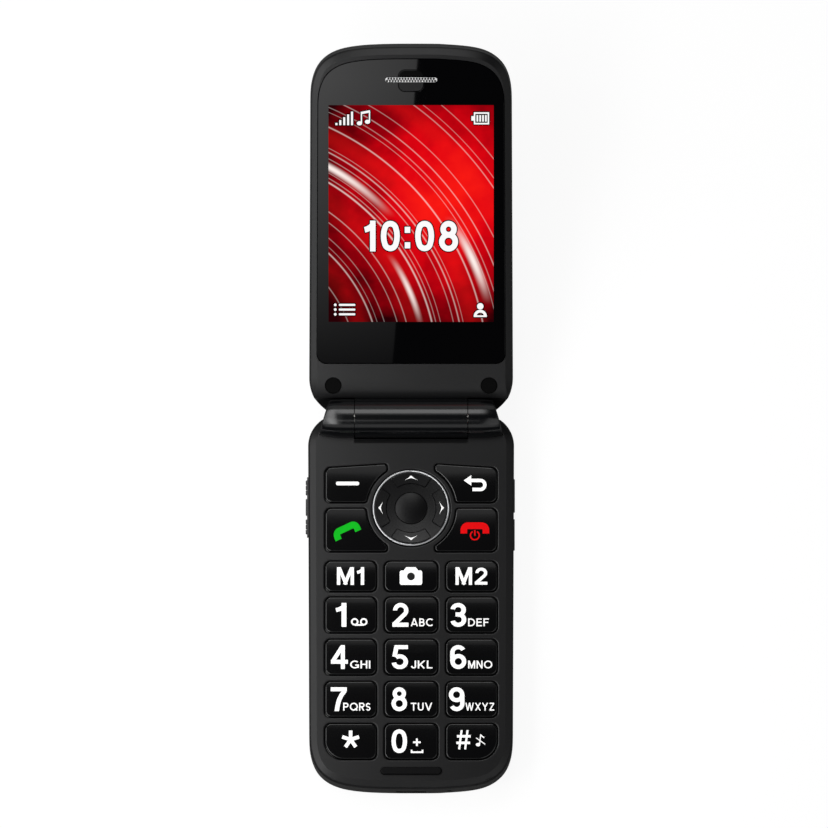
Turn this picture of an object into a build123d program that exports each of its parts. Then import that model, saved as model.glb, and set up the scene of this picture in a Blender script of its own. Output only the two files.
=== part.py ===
from build123d import *
import os
from math import radians, tan

# A flip phone, open at its stop. The keypad half lies on its back, +Z up.
# The lid carries on towards +Y from the hinge and is raised by open_tilt.
# Distances named ..._d run from the hinge axis towards the far end of a half.
# The origin is on the back face, in the middle of the keypad half.

# Overall sizes
hinge_y = 48.0
base_half_near = 27.0
side_taper = 0.36
base_reach = 98.1
base_tail = 1.5
base_thickness = 10.6
lid_step = 0.28
lid_reach = 98.5
lid_tail = 1.2
lid_thickness = 8.2
closed_gap = 0.8
open_tilt = 20.0
meeting_gap = 0.6
hinge_corner = 8.5
lid_hinge_corner = 11.6
end_curve_depth = 14.6
end_curve_across_shares = (1.0, 0.983, 0.923, 0.807, 0.571, 0.334, 0.0)
end_curve_drop_shares = (1.0, 0.651, 0.377, 0.178, 0.045, 0.009, 0.0)

# Shells
wall = 1.5
plate = 1.2
floor = 1.2
back_round = 3.0
bevel_width = 2.0
bevel_drop = 1.0
bevel_round = 0.9
base_split_z = 6.2
lid_split_z = 6.6
lip_round = 0.45
overrun = 1.0
fit_gap = 0.1
slot_end_gap = 0.01
foot_overlap = 0.25
seat_gap = 0.05
level_slack = 0.001
corner_fillet = 1.0

# Hinge
barrel_radius = 5.1
ear_length = 6.45
seam = 0.2
run_gap = 0.35
relief_length = 1.05
relief_drop = 0.4
ear_crown_lead = 3.2
ear_crown_drop = 1.1
ear_side_near = 5.8
ear_side_far = 2.7
ear_edge = 0.5
cartridge_radius = 3.0
cartridge_length = 12.5
shaft_radius = 1.4
shaft_grip = 4.0
shaft_reach = 6.0
pivot_radius = 1.7
pivot_bore = 0.9
cable_radius = 0.7
running_fit = 0.05
press_gap = 0.02
roll_start_d = 10.5
roll_radius = 14.0

# Keys
key_gap = 0.15
key_rise = 0.35
key_crown = 0.16
key_edge = 0.3
key_corner = 1.6
tip_corner = 0.85
key_travel = 0.3
flange_lip = 0.42
flange_height = 0.45
flange_play = 0.05
keypad_side_gap = 4.04
column_gap = 1.95
middle_key_share = 0.3414
memory_row_gap = 1.28
keypad_end_gap = 7.635
row_gap = 1.53
memory_row_d = 41.87
memory_key_height = 8.25
big_corner_share = 0.5181
nub_radius = 0.45
nub_height = 0.2
nub_x = 1.4
nub_offset = 0.53
corner_key_side_gap = 4.09
corner_key_inner_x = 6.15
corner_key_arc = 11.65
soft_key_top_d = 11.9
soft_key_slope = 1.05
soft_key_end_d = 22.35
call_key_top_d = 23.7
call_key_end_d = 35.4

# Navigation key
nav_d = 23.74
nav_ring_outer = 10.05
nav_ring_width = 0.45
nav_ring_rise = 0.32
nav_disc_rise = 0.12
nav_dish = 0.5
nav_pad_rise = 0.36
nav_pad_corner = 0.5
nav_pad_inner = 6.4
nav_pad_half_angle = 34.6
nav_ledge = 0.35
nav_tilt = 1.2
ok_radius = 4.15
ok_crown = 0.35
ok_lip = 0.7
carrier_lip = 0.6
carrier_height = 0.45
pivot_ridge_x = 7.4
pivot_ridge_radius = 0.6

# Keypad mat, domes and board
mat_sheet = 0.3
mat_top_d = 12.6
mat_end_gap = 6.4
mat_side_gap = 3.04
mat_pad_radius = 2.2
nib_radius = 0.9
nib_gap = 0.05
dome_radius = 2.0
dome_top_radius = 1.1
dome_height = 0.25
board_thickness = 0.9
board_top_d = 12.0
board_inset = 2.3

# Side keys
side_key_z = 4.4
side_slot_gap = 0.15
volume_d = 22.5
volume_length = 15.6
volume_height = 2.8
volume_proud = 0.35
tooth_height = 0.35
tooth_width = 0.8
tooth_pitch = 1.34
tooth_end_gap = 0.6
tooth_count = 3
volume_bar_length = 4.0
volume_play = 0.45
volume_flange = 0.45
volume_lip = 0.6
trunnion_radius = 0.5
trunnion_length = 0.9
lug_length = 1.6
lug_depth = 1.4
trunnion_boss = 1.2
side_key_height = 2.4
side_key_proud = 0.27
side_key_upper_d = 19.45
side_key_upper_length = 8.5
side_key_lower_d = 29.8
side_key_lower_length = 8.0
side_key_edge = 0.2
switch_gap = 0.55
switch_depth = 1.8
switch_length = 3.2
switch_height = 3.4

# Back cover, battery and bays
cover_side_gap = 4.64
cover_top_d = 30.0
cover_thickness = 1.0
rail_width = 0.8
rail_height = 0.5
battery_side_gap = 3.7
battery_top_d = 35.2
battery_end_gap = 8.3
battery_thickness = 3.7
battery_round = 1.5
bay_gap = 0.3
deck = 0.5
side_bay_wall = 2.2
side_bay_floor = 1.9
bay_top_d = 11.5
bay_end_d = 29.0
side_bay_end_gap = 7.3
end_bay_half = 15.0
end_bay_length = 6.1
end_bay_floor = 2.0

# Pieces inside the keypad half
speaker_x = -2.0
speaker_d = 20.4
speaker_width = 18.0
speaker_length = 13.0
speaker_height = 3.0
grille_count = 5
grille_pitch = 2.4
grille_length = 9.0
grille_width = 1.0
motor_x = 14.0
motor_radius = 4.0
motor_height = 2.6
sim_width = 15.0
sim_length = 13.0
sim_height = 0.6
sim_d = 52.0
contact_pitch = 2.5
contact_width = 0.9
contact_height = 2.0
contact_slot_d = 32.6
mic_x = 10.0
mic_radius = 2.0
mic_height = 1.2
mic_end_gap = 3.7
mic_slot = 1.0
usb_width = 7.5
usb_height = 2.6
usb_length = 5.2
usb_wall = 0.35
usb_tongue = 0.6
usb_tongue_inset = 1.0
bumper_half = 8.05
bumper_end_gap = 4.65
bumper_width = 2.1
bumper_depth = 0.6
bumper_rise = 0.65

# Screws
screw_radius = 0.7
screw_head_radius = 1.35
screw_head_height = 0.8
screw_hole_gap = 0.1
screw_boss = 2.0
screw_cross_width = 0.3
screw_cross_length = 1.6
screw_cross_depth = 0.4
upper_screw_side_gap = 5.0
upper_screw_d = 9.2
lower_screw_side_gap = 7.14
lower_screw_end_gap = 4.3
lid_screw_side_gap = 6.32
lid_screw_d = 8.65
cap_radius = 2.15
cap_height = 0.8
cap_sink = 0.3
cap_gap = 0.08

# Display and the lid's inside
window_side_gap = 1.96
window_end_gap = 3.1
window_bottom_d = 14.5
window_corner = 2.5
window_thickness = 0.95
window_sink = 0.05
window_gap = 0.1
screen_side_gap = 4.76
screen_bottom_d = 25.6
screen_end_gap = 12.3
screen_margin = 0.6
shelf = 0.8
panel_side = 2.0
panel_below = 5.6
panel_above = 2.6
panel_thickness = 1.7
earpiece_end_gap = 5.65
mesh_length = 13.7
mesh_height = 1.3
mesh_thickness = 0.3
mesh_sink = 0.25
mesh_hole = 0.25
mesh_hole_pitch = 0.74
mesh_holes = 18
mesh_row_pitch = 0.54
dish_half = 3.2
dish_below = 2.95
dish_above = 2.55
dish_depth = 0.3
dish_corner = 1.6
dish_slope = 40.0
speaker_bar_length = 15.0
speaker_bar_width = 6.0
speaker_bar_height = 1.7
lid_board_side_gap = 2.6
lid_board_end_gap = 3.1
lid_board_bottom_d = 20.0
lid_board_thickness = 0.7
camera_end_gap = 9.7
camera_size = 8.0
camera_window_radius = 4.6
camera_window_thickness = 0.8
camera_lens_radius = 2.6
camera_lens_gap = 0.1

# Worked-out places
base_half_far = base_half_near - side_taper
lid_half_near = base_half_near - lid_step
lid_half_far = lid_half_near - side_taper
base_half_least = min(base_half_near, base_half_far)
lid_half_least = min(lid_half_near, lid_half_far)
ear_out_near = base_half_near - ear_side_near
ear_out_far = base_half_near - ear_side_far
ear_crown_start = ear_out_near - ear_crown_lead
barrel_half = ear_out_near - ear_length
keypad_half = base_half_least - keypad_side_gap
middle_key_width = (keypad_half - column_gap) * 2 * middle_key_share
side_key_width = keypad_half - middle_key_width / 2 - column_gap
column_pitch = keypad_half - side_key_width / 2
row_count = 4
first_row_top_d = memory_row_d + memory_key_height / 2 + memory_row_gap
rows_length = base_reach - keypad_end_gap - first_row_top_d
row_pitch = (rows_length + row_gap) / row_count
key_height = row_pitch - row_gap
first_row_d = first_row_top_d + key_height / 2
big_corner = key_height * big_corner_share
nub_d = first_row_d + row_pitch - nub_offset
corner_key_outer_x = base_half_least - corner_key_side_gap
mat_end_d = base_reach - mat_end_gap
mat_half = base_half_least - mat_side_gap
cover_half = base_half_least - cover_side_gap
battery_half = cover_half - battery_side_gap
battery_length = base_reach - battery_end_gap - battery_top_d
side_bay_inner = battery_half + side_bay_wall
side_bay_end_d = base_reach - side_bay_end_gap
end_bay_top_d = base_reach - end_bay_length
mic_d = base_reach - mic_end_gap
bumper_d = base_reach - bumper_end_gap
upper_screw_x = base_half_near - upper_screw_side_gap
lower_screw_x = base_half_least - lower_screw_side_gap
lower_screw_d = base_reach - lower_screw_end_gap
lid_screw_x = lid_half_near - lid_screw_side_gap
window_half = lid_half_far - window_side_gap
window_top_d = lid_reach - window_end_gap
screen_half = lid_half_least - screen_side_gap
screen_top_d = window_top_d - screen_end_gap
panel_half = screen_half + panel_side
earpiece_d = window_top_d - earpiece_end_gap
dish_bottom_d = earpiece_d - dish_below
dish_top_d = earpiece_d + dish_above
lid_board_half = panel_half - lid_board_side_gap
lid_board_top_d = screen_top_d - lid_board_end_gap
camera_d = lid_reach - camera_end_gap
axis_z = base_thickness + closed_gap / 2
lid_face_z = base_thickness
lid_back_z = lid_face_z - lid_thickness
plate_under_z = base_thickness - plate
flange_top_z = plate_under_z - flange_play
flange_under_z = flange_top_z - flange_height
mat_sheet_top_z = flange_under_z - key_travel - fit_gap
mat_sheet_z = mat_sheet_top_z - mat_sheet
carrier_lift = (nav_ring_outer + carrier_lip) * tan(radians(nav_tilt))
carrier_top_z = plate_under_z - carrier_lift - fit_gap
carrier_z = carrier_top_z - carrier_height
board_z = base_split_z + fit_gap
board_top_z = board_z + board_thickness
dome_top_z = board_top_z + dome_height
nav_under_z = base_thickness - nav_ledge * 2 - nav_disc_rise
deck_under_z = base_split_z - deck
ear_inner = barrel_half + seam
wide = base_half_near * 2 + overrun * 2
far = base_reach + lid_reach
shell_floor_z = cover_thickness + fit_gap
window_under_z = lid_face_z - window_sink - window_thickness
shelf_under_z = window_under_z - seat_gap - shelf
panel_top_z = shelf_under_z - seat_gap
panel_z = panel_top_z - panel_thickness

BASE = -1
LID = 1


def at(x, d, side):
    """Point in plan at distance d from the hinge axis on one half."""
    return (x, hinge_y + side * d)


def slab(face, low, high):
    """Upright solid over a plan face between two heights."""
    return Pos(0, 0, low) * extrude(face, amount=high - low, dir=(0, 0, 1))


def block(x_low, x_high, d_low, d_high, z_low, z_high, side=BASE):
    """Plain box given by its limits, with d measured from the hinge axis."""
    centre = at((x_low + x_high) / 2, (d_low + d_high) / 2, side)
    box = Box(x_high - x_low, d_high - d_low, z_high - z_low)
    return Pos(centre[0], centre[1], (z_low + z_high) / 2) * box


def post(radius, x, d, z_low, z_high, side=BASE):
    """Upright round post."""
    centre = at(x, d, side)
    return Pos(centre[0], centre[1], (z_low + z_high) / 2) * Cylinder(radius, z_high - z_low)


def bar(radius, x_low, x_high):
    """Round bar on the hinge axis."""
    shape = Rot(Y=90) * Cylinder(radius, x_high - x_low)
    return Pos((x_low + x_high) / 2, hinge_y, axis_z) * shape


def rounded(x, d, width, length, radius, side=BASE):
    """Plan face of a rounded rectangle."""
    centre = at(x, d, side)
    return Pos(centre[0], centre[1], 0) * RectangleRounded(width, length, radius)


def half_plan(half_near, half_far, reach, tail, corner, inset, side):
    """Plan face of one half: rounded hinge corners, straight sides, curved far end."""
    near = half_near - inset
    far_half = half_far - inset
    tip = reach - inset
    depth = end_curve_depth - inset
    start = inset - tail
    shares = zip(end_curve_across_shares, end_curve_drop_shares)
    right = [at(far_half * across, tip - depth * drop, side) for across, drop in shares]
    left = [(-x, y) for x, y in reversed(right)]
    taper = Vector(far_half - near, side * (tip - depth - start), 0).normalized()
    corner_right = at(near, start, side)
    corner_left = at(-near, start, side)
    edges = [
        Line(corner_left, corner_right),
        Line(corner_right, right[0]),
        Spline(*right, tangents=(taper, (-1, 0, 0))),
        Spline(*left, tangents=((-1, 0, 0), (taper.X, -taper.Y, 0))),
        Line(left[-1], corner_left),
    ]
    face = Face(Wire(edges))
    ends = face.vertices().sort_by(Axis.Y)
    hinge_ends = ends[-2:] if side == BASE else ends[:2]
    return face.fillet_2d(corner - inset, hinge_ends)


def side_half(d):
    """Half width of the keypad half at a distance from the axis; its sides taper."""
    share = (d + base_tail) / (base_reach - end_curve_depth + base_tail)
    return base_half_near + (base_half_far - base_half_near) * share


def volume_flange_x():
    """Outer face of the volume key's inner flange, as a distance from the middle."""
    return side_half(volume_d) - wall - volume_play


def side_flange_x(d, length):
    """Outer face of a side key's inner flange, clear of the tapered wall at its far end."""
    return side_half(d + length / 2 + volume_lip) - wall - fit_gap


def base_plan(inset):
    """Plan face of the keypad half, drawn in by inset."""
    sizes = (base_half_near, base_half_far, base_reach, base_tail, hinge_corner)
    return half_plan(*sizes, inset, BASE)


def lid_plan(inset):
    """Plan face of the lid, drawn in by inset."""
    sizes = (lid_half_near, lid_half_far, lid_reach, lid_tail, lid_hinge_corner)
    return half_plan(*sizes, inset, LID)


def rim(solid, height):
    """Edges that lie level at one height."""
    return solid.edges().filter_by_position(Axis.Z, height - level_slack, height + level_slack)


def shell_block(plan, low, high):
    """Outer form of one half: rounded back edge and bevelled face edge."""
    solid = slab(plan, low, high)
    solid = fillet(rim(solid, low), back_round)
    top = solid.faces().sort_by(Axis.Z)[-1]
    solid = chamfer(rim(solid, high), bevel_width, bevel_drop, reference=top)
    return fillet(rim(solid, high - bevel_drop), bevel_round)


def meeting_cut(side):
    """Everything past the slanted plane where the two halves meet at the stop."""
    deep = base_thickness + lid_thickness
    offset = -side * (far / 2 - meeting_gap / 2)
    box = Pos(0, offset, 0) * Box(wide, far, deep * 2)
    return Pos(0, hinge_y, axis_z) * Rot(X=-side * open_tilt / 2) * box


def ear(hand, gap):
    """Hinge ear on the keypad half, round about the axis, with a crowned, slanted end."""
    radius = barrel_radius + gap
    inner = ear_inner - gap
    outer = ear_out_far + overrun
    crown = Edge.make_three_point_arc(
        (ear_crown_start, radius),
        ((ear_crown_start + outer) / 2, radius - ear_crown_drop / 4),
        (outer, radius - ear_crown_drop),
    )
    edges = [
        Line((inner, 0), (inner, radius)),
        Line((inner, radius), (ear_crown_start, radius)),
        crown,
        Line((outer, radius - ear_crown_drop), (outer, 0)),
        Line((outer, 0), (inner, 0)),
    ]
    turned = revolve(Face(Wire(edges)), Axis.X)
    reach = barrel_radius + gap
    side_line = Polyline(
        (inner, reach),
        (ear_out_near + gap, reach),
        (ear_out_far + gap, -reach),
        (inner, -reach),
        close=True,
    )
    trim = Pos(0, 0, -reach) * extrude(Face(Wire(side_line)), amount=reach * 2, dir=(0, 0, 1))
    solid = turned & trim
    if gap == 0:
        end = solid.faces().sort_by(Axis.X)[-1]
        solid = fillet(end.edges(), ear_edge)
    if hand < 0:
        solid = mirror(solid, Plane.YZ)
    return Pos(0, hinge_y, axis_z) * solid


def base_block():
    """Outer form of the keypad half with the hinge let into it."""
    solid = shell_block(base_plan(0), 0, base_thickness)
    solid -= meeting_cut(BASE)
    solid -= bar(barrel_radius + run_gap, -ear_inner, ear_inner)
    groove = barrel_radius + run_gap
    relief = Polyline(
        (-groove, overrun),
        (-groove - relief_length, 0),
        (-groove, -relief_drop),
        (0, -relief_drop),
        (0, overrun),
        close=True,
    )
    profile = Plane.YZ * Face(Wire(relief))
    wedge = extrude(profile, amount=ear_inner, both=True)
    solid -= Pos(0, hinge_y, base_thickness) * wedge
    for hand in (-1, 1):
        solid -= ear(hand, seat_gap)
    return solid


def screw_places():
    """Plan places of the four screws that close the keypad half."""
    places = []
    for hand in (-1, 1):
        places.append((hand * upper_screw_x, upper_screw_d, floor))
        places.append((hand * lower_screw_x, lower_screw_d, shell_floor_z + floor))
    return places


def crowned(solid, d, length, top, rise, side=BASE):
    """Trim a solid to a gently rounded top, highest across its middle."""
    radius = ((length / 2) ** 2 + rise**2) / (rise * 2)
    centre = at(0, d, side)
    round_top = Rot(Y=90) * Cylinder(radius, wide)
    return solid & (Pos(0, centre[1], top - radius) * round_top)


def key_box(x, d, width, length, inset, big=0):
    """Plan face of a keypad key; big is -1 or 1 where an outer lower corner is large."""
    centre = at(x, d, BASE)
    face = Pos(centre[0], centre[1], 0) * Rectangle(width - inset * 2, length - inset * 2)
    low = face.vertices().sort_by(Axis.Y)[:2]
    large = [v for v in low if big * (v.X - x) > 0]
    small = [v for v in face.vertices() if v not in large]
    face = fillet(small, key_corner)
    if large:
        spot = large[0].center()
        found = face.vertices().sort_by_distance(spot)[0]
        face = fillet(found, big_corner - inset)
    return face


def corner_key_face(hand, top, end, slope, inset):
    """Plan face of a key beside the navigation ring, cut round to match it."""
    inner = corner_key_inner_x + inset
    outer = corner_key_outer_x - inset
    points = [
        at(hand * inner, top + inset, BASE),
        at(hand * outer, top + slope + inset, BASE),
        at(hand * outer, end - inset, BASE),
        at(hand * inner, end - inset, BASE),
    ]
    face = Sketch() + Face(Wire(Polyline(*points, close=True)))
    centre = at(0, nav_d, BASE)
    face -= Pos(centre[0], centre[1], 0) * Circle(corner_key_arc + inset)
    outside = face.vertices().group_by(Axis.X)[-1 if hand > 0 else 0]
    tips = [v for v in face.vertices() if v not in outside]
    spots = [v.center() for v in tips]
    face = fillet(outside, key_corner)
    found = [face.vertices().sort_by_distance(spot)[0] for spot in spots]
    return fillet(found, tip_corner)


def key_table():
    """Every keypad key: name, plan function of its inset, middle x and d, and length."""
    table = []

    def add_box(name, x, d, width, length, big=0):
        shape = lambda inset: key_box(x, d, width, length, inset, big)
        table.append((name, shape, x, d, length))

    def add_corner(name, hand, top, end, slope):
        shape = lambda inset: corner_key_face(hand, top, end, slope, inset)
        middle = hand * (corner_key_outer_x + corner_key_arc) / 2
        table.append((name, shape, middle, (top + end) / 2, end - top))

    rows = [("1", "2", "3"), ("4", "5", "6"), ("7", "8", "9"), ("star", "0", "hash")]
    for row, names in enumerate(rows):
        d = first_row_d + row * row_pitch
        for column, name in enumerate(names):
            hand = column - 1
            width = side_key_width if hand else middle_key_width
            big = hand if row == len(rows) - 1 else 0
            add_box("key_" + name, hand * column_pitch, d, width, key_height, big)
    for hand, name in ((-1, "m1"), (0, "camera"), (1, "m2")):
        width = side_key_width if hand else middle_key_width
        add_box("key_" + name, hand * column_pitch, memory_row_d, width, memory_key_height)
    add_corner("key_soft_left", -1, soft_key_top_d, soft_key_end_d, soft_key_slope)
    add_corner("key_soft_right", 1, soft_key_top_d, soft_key_end_d, soft_key_slope)
    add_corner("key_call", -1, call_key_top_d, call_key_end_d, 0)
    add_corner("key_end", 1, call_key_top_d, call_key_end_d, 0)
    return table


def keypad_key(name, shape, d, length):
    """One key: crowned cap over a flange that the front cover keeps in."""
    top = base_thickness + key_rise
    cap = slab(shape(key_gap), flange_top_z - foot_overlap, top)
    cap = crowned(cap, d, length, top, key_crown)
    upper = cap.edges().filter_by(lambda e: e.center().Z > base_thickness)
    cap = fillet(upper, key_edge)
    key = cap + slab(shape(-flange_lip), flange_under_z, flange_top_z)
    if name == "key_5":
        key += post(nub_radius, nub_x, nub_d, base_thickness, top + nub_height)
    return key


def nav_places():
    """Plan places of the four navigation directions."""
    radius = (nav_pad_inner + nav_ring_outer) / 2
    return [(radius, nav_d), (-radius, nav_d), (0, nav_d + radius), (0, nav_d - radius)]


def dished(solid, level):
    """Hollow the top of a navigation piece, level at the disc's edge and lowest in the middle."""
    edge = nav_ring_outer - nav_ring_width
    radius = (edge**2 + nav_dish**2) / (nav_dish * 2)
    centre = at(0, nav_d, BASE)
    return solid - Pos(centre[0], centre[1], level - nav_dish + radius) * Sphere(radius)


def nav_key():
    """Four-way rocker disc, dished, with a raised pad for each direction."""
    disc_radius = nav_ring_outer - nav_ring_width
    disc_z = base_thickness + nav_disc_rise
    key = post(nav_ring_outer, 0, nav_d, nav_under_z, nav_under_z + nav_ledge)
    key += dished(post(disc_radius, 0, nav_d, nav_under_z, disc_z), disc_z)
    ring = Circle(disc_radius - key_gap) - Circle(nav_pad_inner)
    reach = disc_radius * 2
    spread = reach * tan(radians(nav_pad_half_angle))
    sector = Face(Wire(Polyline((0, 0), (reach, spread), (reach, -spread), close=True)))
    pad = ring & (Sketch() + sector)
    pad = fillet(pad.vertices(), nav_pad_corner)
    centre = at(0, nav_d, BASE)
    for turn in range(4):
        face = Pos(centre[0], centre[1], 0) * Rot(Z=turn * 90) * pad
        raised = slab(face, nav_under_z + nav_ledge, disc_z + nav_pad_rise)
        raised = dished(raised, disc_z + nav_pad_rise)
        hollow_top = raised.faces().filter_by(GeomType.SPHERE)
        key += chamfer(hollow_top.edges(), nav_pad_rise * 2 / 3)
    key -= post(ok_radius + key_gap, 0, nav_d, nav_under_z - overrun, base_thickness + overrun)
    return key


def nav_trim_ring():
    """Bright ring round the navigation key, resting on its ledge."""
    low = nav_under_z + nav_ledge
    high = base_thickness + nav_ring_rise
    ring = post(nav_ring_outer, 0, nav_d, low, high)
    ring -= post(nav_ring_outer - nav_ring_width, 0, nav_d, low - overrun, high + overrun)
    return fillet(rim(ring, high), nav_ring_width / 3)


def nav_carrier():
    """Flanged plate under the navigation key, with the two ridges it rocks on."""
    inner = ok_radius + ok_lip + flange_lip
    plate_ring = post(nav_ring_outer + carrier_lip, 0, nav_d, carrier_z, carrier_top_z)
    plate_ring -= post(inner, 0, nav_d, carrier_z - overrun, carrier_top_z + overrun)
    for hand in (-1, 1):
        top = nav_under_z - seat_gap
        plate_ring += post(pivot_ridge_radius, hand * pivot_ridge_x, nav_d, carrier_z, top)
    return plate_ring


def ok_key():
    """Round confirm key in the middle of the navigation key."""
    top = base_thickness + key_rise
    low = flange_under_z
    cap = post(ok_radius, 0, nav_d, low, top)
    dome_radius_big = (ok_radius**2 + ok_crown**2) / (ok_crown * 2)
    centre = at(0, nav_d, BASE)
    cap &= Pos(centre[0], centre[1], top - dome_radius_big) * Sphere(dome_radius_big)
    upper = cap.edges().filter_by(lambda e: e.center().Z > base_thickness - ok_crown)
    cap = fillet(upper, key_edge / 2)
    return cap + post(ok_radius + ok_lip, 0, nav_d, low, low + flange_height)


def press_places():
    """Plan places pressed under the keys, with the height of the piece above each."""
    places = [(x, d, flange_under_z) for _, _, x, d, _ in key_table()]
    places.append((0, nav_d, flange_under_z))
    places += [(x, d, carrier_z) for x, d in nav_places()]
    return places


def keypad_mat():
    """Silicone sheet with a pad under each key and a nib over each dome."""
    middle = (mat_top_d + mat_end_d) / 2
    face = rounded(0, middle, mat_half * 2, mat_end_d - mat_top_d, corner_fillet)
    mat = slab(face, mat_sheet_z, mat_sheet_top_z)
    for x, d, high in press_places():
        mat += post(mat_pad_radius, x, d, mat_sheet_z, high)
        mat += post(nib_radius, x, d, dome_top_z + nib_gap, mat_sheet_top_z)
    return mat


def snap_domes():
    """Click domes on the board, one under each press place."""
    domes = []
    for x, d, _ in press_places():
        centre = at(x, d, BASE)
        place = Pos(centre[0], centre[1], board_top_z + dome_height / 2)
        domes.append(place * Cone(dome_radius, dome_top_radius, dome_height))
    return domes


def main_board():
    """Circuit board that fills the plan of the keypad half."""
    board = slab(base_plan(board_inset), board_z, board_top_z)
    board &= block(-wide, wide, board_top_d, base_reach, board_z, board_top_z)
    for x, d, _ in screw_places():
        board -= post(screw_boss + fit_gap, x, d, board_z - overrun, board_top_z + overrun)
    return board


def base_front_cover():
    """Keypad face: shell, key openings, bumper pocket and screw bosses."""
    cover = base_block() & block(-wide, wide, -far, far, base_split_z, base_thickness * 2)
    hollow = slab(base_plan(wall), base_split_z - overrun, plate_under_z)
    hollow &= block(-wide, wide, upper_screw_d, far, 0, base_thickness)
    cover -= hollow
    for x, d, _ in screw_places():
        cover += post(screw_boss, x, d, base_split_z, plate_under_z + plate / 2)
        cover -= post(screw_radius, x, d, base_split_z - overrun, plate_under_z)
    for _, shape, _, _, _ in key_table():
        cover -= slab(shape(0), plate_under_z - overrun, base_thickness + overrun)
    nav_hole = nav_ring_outer + key_gap
    cover -= post(nav_hole, 0, nav_d, plate_under_z - overrun, base_thickness + overrun)
    cover = fillet(opening_rims(cover), lip_round)
    cover -= usb_hole()
    cover -= slab(bumper_face(0), base_thickness - bumper_depth, base_thickness + overrun)
    return cover


def opening_rims(cover):
    """Upper edges of the key openings on the keypad face."""
    top = cover.faces().filter_by(Axis.Z).sort_by(Axis.Z)[-1]
    return [edge for wire in top.inner_wires() for edge in wire.edges()]


def bumper_face(inset):
    """Plan face of the closing bumper."""
    centre = at(0, bumper_d, BASE)
    slot = SlotOverall((bumper_half - inset) * 2, bumper_width - inset * 2)
    return Pos(centre[0], centre[1], 0) * slot


def bumper_strip():
    """Soft strip that the lid closes on."""
    top = base_thickness + bumper_rise
    strip = slab(bumper_face(seat_gap), base_thickness - bumper_depth, top)
    return fillet(rim(strip, top), bumper_rise / 2)


def cover_zone(gap):
    """Space of the battery cover in the back of the keypad half, rails included."""
    top = cover_thickness + gap
    half = cover_half + gap
    zone = block(-half, half, cover_top_d - gap, far, -overrun, top)
    rail = half + rail_width
    low = cover_thickness - rail_height - gap
    return zone + block(-rail, rail, cover_top_d - gap, far, low, top)


def battery_cover():
    """Back cover that slides off towards the far end on two side rails."""
    return shell_block(base_plan(0), 0, base_thickness) & cover_zone(0)


def volume_slot(gap):
    """Opening through the left wall for the volume key."""
    half = volume_length / 2 + gap
    low = side_key_z - volume_height / 2 - gap
    high = side_key_z + volume_height / 2 + gap
    return block(-wide, -volume_flange_x(), volume_d - half, volume_d + half, low, high)


def side_key_places():
    """Middle and length of each key in the right wall."""
    return [(side_key_upper_d, side_key_upper_length), (side_key_lower_d, side_key_lower_length)]


def side_slot(d, length, gap):
    """Opening through the right wall for a side key."""
    half = length / 2 + gap
    low = side_key_z - side_key_height / 2 - gap
    high = side_key_z + side_key_height / 2 + gap
    return block(side_flange_x(d, length), wide, d - half, d + half, low, high)


def trunnion_axis_x():
    """X of the upright pivot of the volume key."""
    return -(volume_flange_x() - volume_flange - lug_depth / 2)


def base_rear_case():
    """Back shell: battery bay, side bays, cover rails, side key slots and screw holes."""
    case = base_block() & block(-wide, wide, -far, far, -overrun, base_split_z)
    case -= cover_zone(fit_gap)
    half = battery_half + bay_gap
    low = battery_top_d - bay_gap
    high = battery_top_d + battery_length + bay_gap
    case -= block(-half, half, low, high, 0, deck_under_z)
    room = slab(base_plan(wall), 0, base_split_z + overrun)
    top = base_split_z + overrun
    bays = block(-wide, wide, bay_top_d, bay_end_d, floor, top)
    for hand in (-1, 1):
        edge = sorted((hand * side_bay_inner, hand * wide))
        bays += block(edge[0], edge[1], bay_top_d, side_bay_end_d, side_bay_floor, top)
    bays += block(-end_bay_half, end_bay_half, end_bay_top_d, far, end_bay_floor, top)
    case -= bays & room
    case += post(trunnion_boss, trunnion_axis_x(), volume_d, floor / 2, volume_boss_top())
    case -= post(
        trunnion_radius + running_fit, trunnion_axis_x(), volume_d, floor, base_thickness
    )
    case -= volume_slot(side_slot_gap * 2)
    for d, length in side_key_places():
        case -= side_slot(d, length, side_slot_gap)
    for x, d, seat in screw_places():
        shank = screw_radius + screw_hole_gap
        case -= post(shank, x, d, -overrun, base_split_z + overrun)
        case -= post(screw_head_radius + screw_hole_gap, x, d, -overrun, seat)
    for spot in range(grille_count):
        x = speaker_x + (spot - (grille_count - 1) / 2) * grille_pitch
        face = rounded(x, speaker_d, grille_width, grille_length, grille_width / 2 - slot_end_gap)
        case -= slab(face, -overrun, floor + overrun)
    for x in contact_places():
        slot = contact_width / 2 + fit_gap
        end = low + overrun
        case -= block(x - slot, x + slot, contact_slot_d, end, contact_low(), contact_high())
    case -= usb_hole()
    edge = mic_slot / 2
    middle = board_z - mic_height / 2
    case -= block(mic_x - edge, mic_x + edge, mic_d, far, middle - edge, middle + edge)
    return case


def volume_boss_top():
    """Top of the boss that takes the volume key's trunnion."""
    return side_key_z - volume_height / 2 - fit_gap


def usb_hole():
    """Opening in the far end wall for the charging socket."""
    half = usb_width / 2 + fit_gap
    low = board_z - usb_height - fit_gap
    return block(-half, half, end_bay_top_d, far, low, base_split_z + fit_gap)


def usb_socket():
    """Charging socket: folded metal shell with its tongue."""
    low = board_z - usb_height
    end = base_reach - usb_wall
    start = end - usb_length
    half = usb_width / 2
    shell = block(-half, half, start, end, low, board_z)
    inner = half - usb_wall
    cavity = block(-inner, inner, start + usb_wall * 2, far, low + usb_wall, board_z - usb_wall)
    shell -= cavity
    middle = (low + board_z) / 2
    tongue = inner - usb_tongue
    tip = end - usb_tongue_inset
    half_tongue = usb_tongue / 2
    return shell + block(-tongue, tongue, start, tip, middle - half_tongue, middle + half_tongue)


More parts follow.
